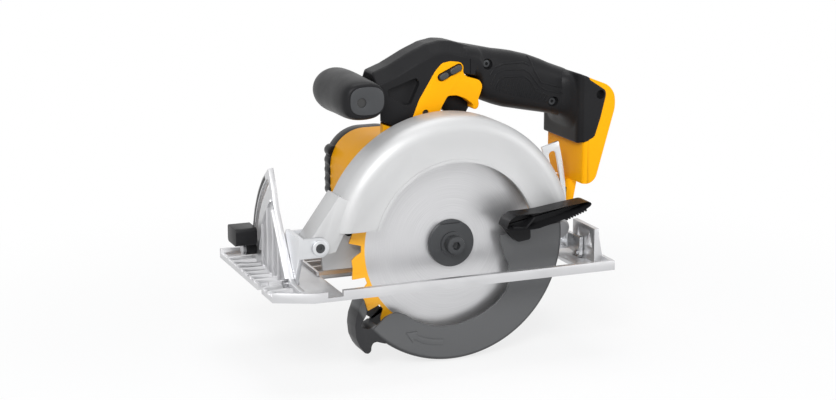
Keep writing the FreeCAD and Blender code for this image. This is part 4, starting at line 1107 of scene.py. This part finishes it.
def guard_paint_with_rim_shade():
    """The dark casting, paler on its flat wall, with painted shade that darkens it to nearly black
    round the rim.
    """
    material = FINISH["guard_dark"].copy()
    material.name = "guard_dark_rim_shade"
    tree = material.node_tree
    surface = tree.nodes["Principled BSDF"]
    around = place_group(tree, ROUND)
    # Painted shade: past 88 mm from the arbor the rounded rim fades to nearly black, standing in
    # for the rim turned away from the light.
    rim = add_node(tree, "MapRange", {"From Min": 88.2 * MM, "From Max": 90.4 * MM,
                                      "Value": around.outputs["Radius"]})
    tone = add_node(tree, "Mix", {"A": (0.105, 0.107, 0.110, 1), "B": (0.022, 0.022, 0.024, 1),
                                  "Factor": rim.outputs["Result"]}, data_type="RGBA")
    tree.links.new(tone.outputs["Result"], surface.inputs["Base Color"])
    return material


def build_lower_guard():
    body = bmesh.new()
    web = new_slab([(-61, -31), (-72.5, -23), (-72.3, -18), (-73.3, -13), (-73.7, -9.4), (-66, -8),
                    (-60, -16), (-52, -26)], GUARD_FAR - GUARD_WALL, GUARD_FAR)
    angles = [-138.2 + 144.2 * i / 110 for i in range(111)]
    sweep(body, [guard_section(body, a, inner_radius(a)) for a in angles])
    toe = new_slab([(-64.2, -30.4), (-66.5, -32), (-70.5, -33.5), (-75.5, -32), (-76, -29),
                    (-72, -22.5), (-71.8, -18), (-73, -14), (-73.9, -9.3), (-76.9, -14.5),
                    (-80.3, -23.8), (-81.2, -31), (-80.2, -40.3), (-77.2, -47.2), (-73.4, -52.4),
                    (-70.5, -53.2), (-68.2, -51.4), (-68, -47.6), (-66.6, -45.2), (-63.7, -44.4),
                    (-60.5, -45.6), (-56, -47)], GUARD_NEAR + 0.9, GUARD_FAR - 0.6)
    bevel_edges(toe, upright_edges(toe), 0.9, 2)
    bevel_edges(toe, rim_edges(toe, GUARD_NEAR + 0.9), 0.8, 2)
    hub = bmesh.new()
    sections = []
    for i in range(73):
        turn = i * 5
        sections.append([hub.verts.new(guard_place(r, turn, y)) for r, y in
                         ((20.2, GUARD_FAR - 2.5), (24, GUARD_FAR - 2.5), (24, GUARD_FAR),
                          (20.2, GUARD_FAR))])
    sweep(hub, sections)
    bmesh.ops.remove_doubles(hub, verts=hub.verts, dist=0.000001)
    arrow = polar_slab([(76.8, -121.7), (72.2, -115.7), (74.8, -115.3), (75.2, -110), (75.0, -104),
                        (74.4, -97.3), (78.9, -97.1), (79.4, -104), (79.4, -110), (78.6, -115.5),
                        (81.4, -115.5)], GUARD_NEAR - 0.8, GUARD_NEAR + 0.5)
    bevel_edges(arrow, rim_edges(arrow, GUARD_NEAR - 0.8), 0.35, 2)
    piece = add_piece("swing_guard", as_mesh("swing_guard", body, toe, web, hub), "guard_dark",
                      "lower_guard", ("lower_guard",))
    # The swing guard takes the casting colour with painted shade round its rim.
    piece.data.materials[0] = guard_paint_with_rim_shade()
    shade_by_angle(piece.data, 32)
    mark = add_piece("turn_arrow", as_mesh("turn_arrow", arrow), "guard_dark", "lower_guard")
    mark.data.materials[0] = piece.data.materials[0]
    shade_by_angle(mark.data, 32)
    return piece


swing_guard = build_lower_guard()
print("lower guard", len(swing_guard.data.polygons))

# %% [markdown]
# The lever of the lower guard is pulled by a thumb.  It is a hollow moulding: a rim follows
# its outline and the inside is sunk, with a web or two, and its tip is grooved underneath.

# %% Guard lever
LEVER_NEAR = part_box("guard_lever")[0][1] / MM
LEVER_FACE = LEVER_NEAR + 16.5
LEVER = [(33, 40.5), (35.5, 46.5), (41, 50), (62, 50.6), (101, 55.6), (104.6, 54.8), (104.6, 52.2),
         (98.5, 48.6), (80, 43), (66, 39.6), (60, 38.2), (56, 37.9), (47, 37.9),
         (37, 38.6)]


def build_lever():
    slab = new_slab(LEVER, LEVER_NEAR, LEVER_FACE)
    bevel_edges(slab, upright_edges(slab), 1.4, 3)
    face = min((f for f in slab.faces if abs(f.normal.y) > 0.9),
               key=lambda f: f.calc_center_median().y)
    bmesh.ops.inset_region(slab, faces=[face], thickness=2.2 * MM, depth=0.0)
    bmesh.ops.translate(slab, verts=face.verts, vec=(0, 9 * MM, 0))
    bevel_edges(slab, rim_edges(slab, LEVER_NEAR), 0.7, 2)
    webs = [new_slab([(48, 37.5), (49.4, 37), (58, 46), (57, 47.4)], LEVER_NEAR + 2.5,
                     LEVER_FACE - 2),
            new_slab([(40, 40.6), (40, 39.2), (51, 38.2), (51, 39.6)], LEVER_NEAR + 3.5,
                     LEVER_FACE - 2)]
    grooves = []
    for i in range(8):
        share = i / 7
        grooves.append(new_rod((84 + 16 * share, 43.2 + 5.6 * share), 0.9, LEVER_NEAR + 0.6,
                               LEVER_FACE - 0.6, 12))
    root = new_slab([(36, 41), (44, 46.5), (60, 44), (61, 26), (50, 24.5), (44, 30)], LEVER_FACE,
                    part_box("guard_lever")[1][1] / MM)
    bevel_edges(root, upright_edges(root), 2.0, 3)
    piece = add_piece("thumb_lever", as_mesh("thumb_lever", slab, root, *webs, *grooves),
                      "black_plastic", "lower_guard", ("guard_lever",))
    shade_by_angle(piece.data, 35)
    return piece


lever = build_lever()
print("lever", len(lever.data.polygons))
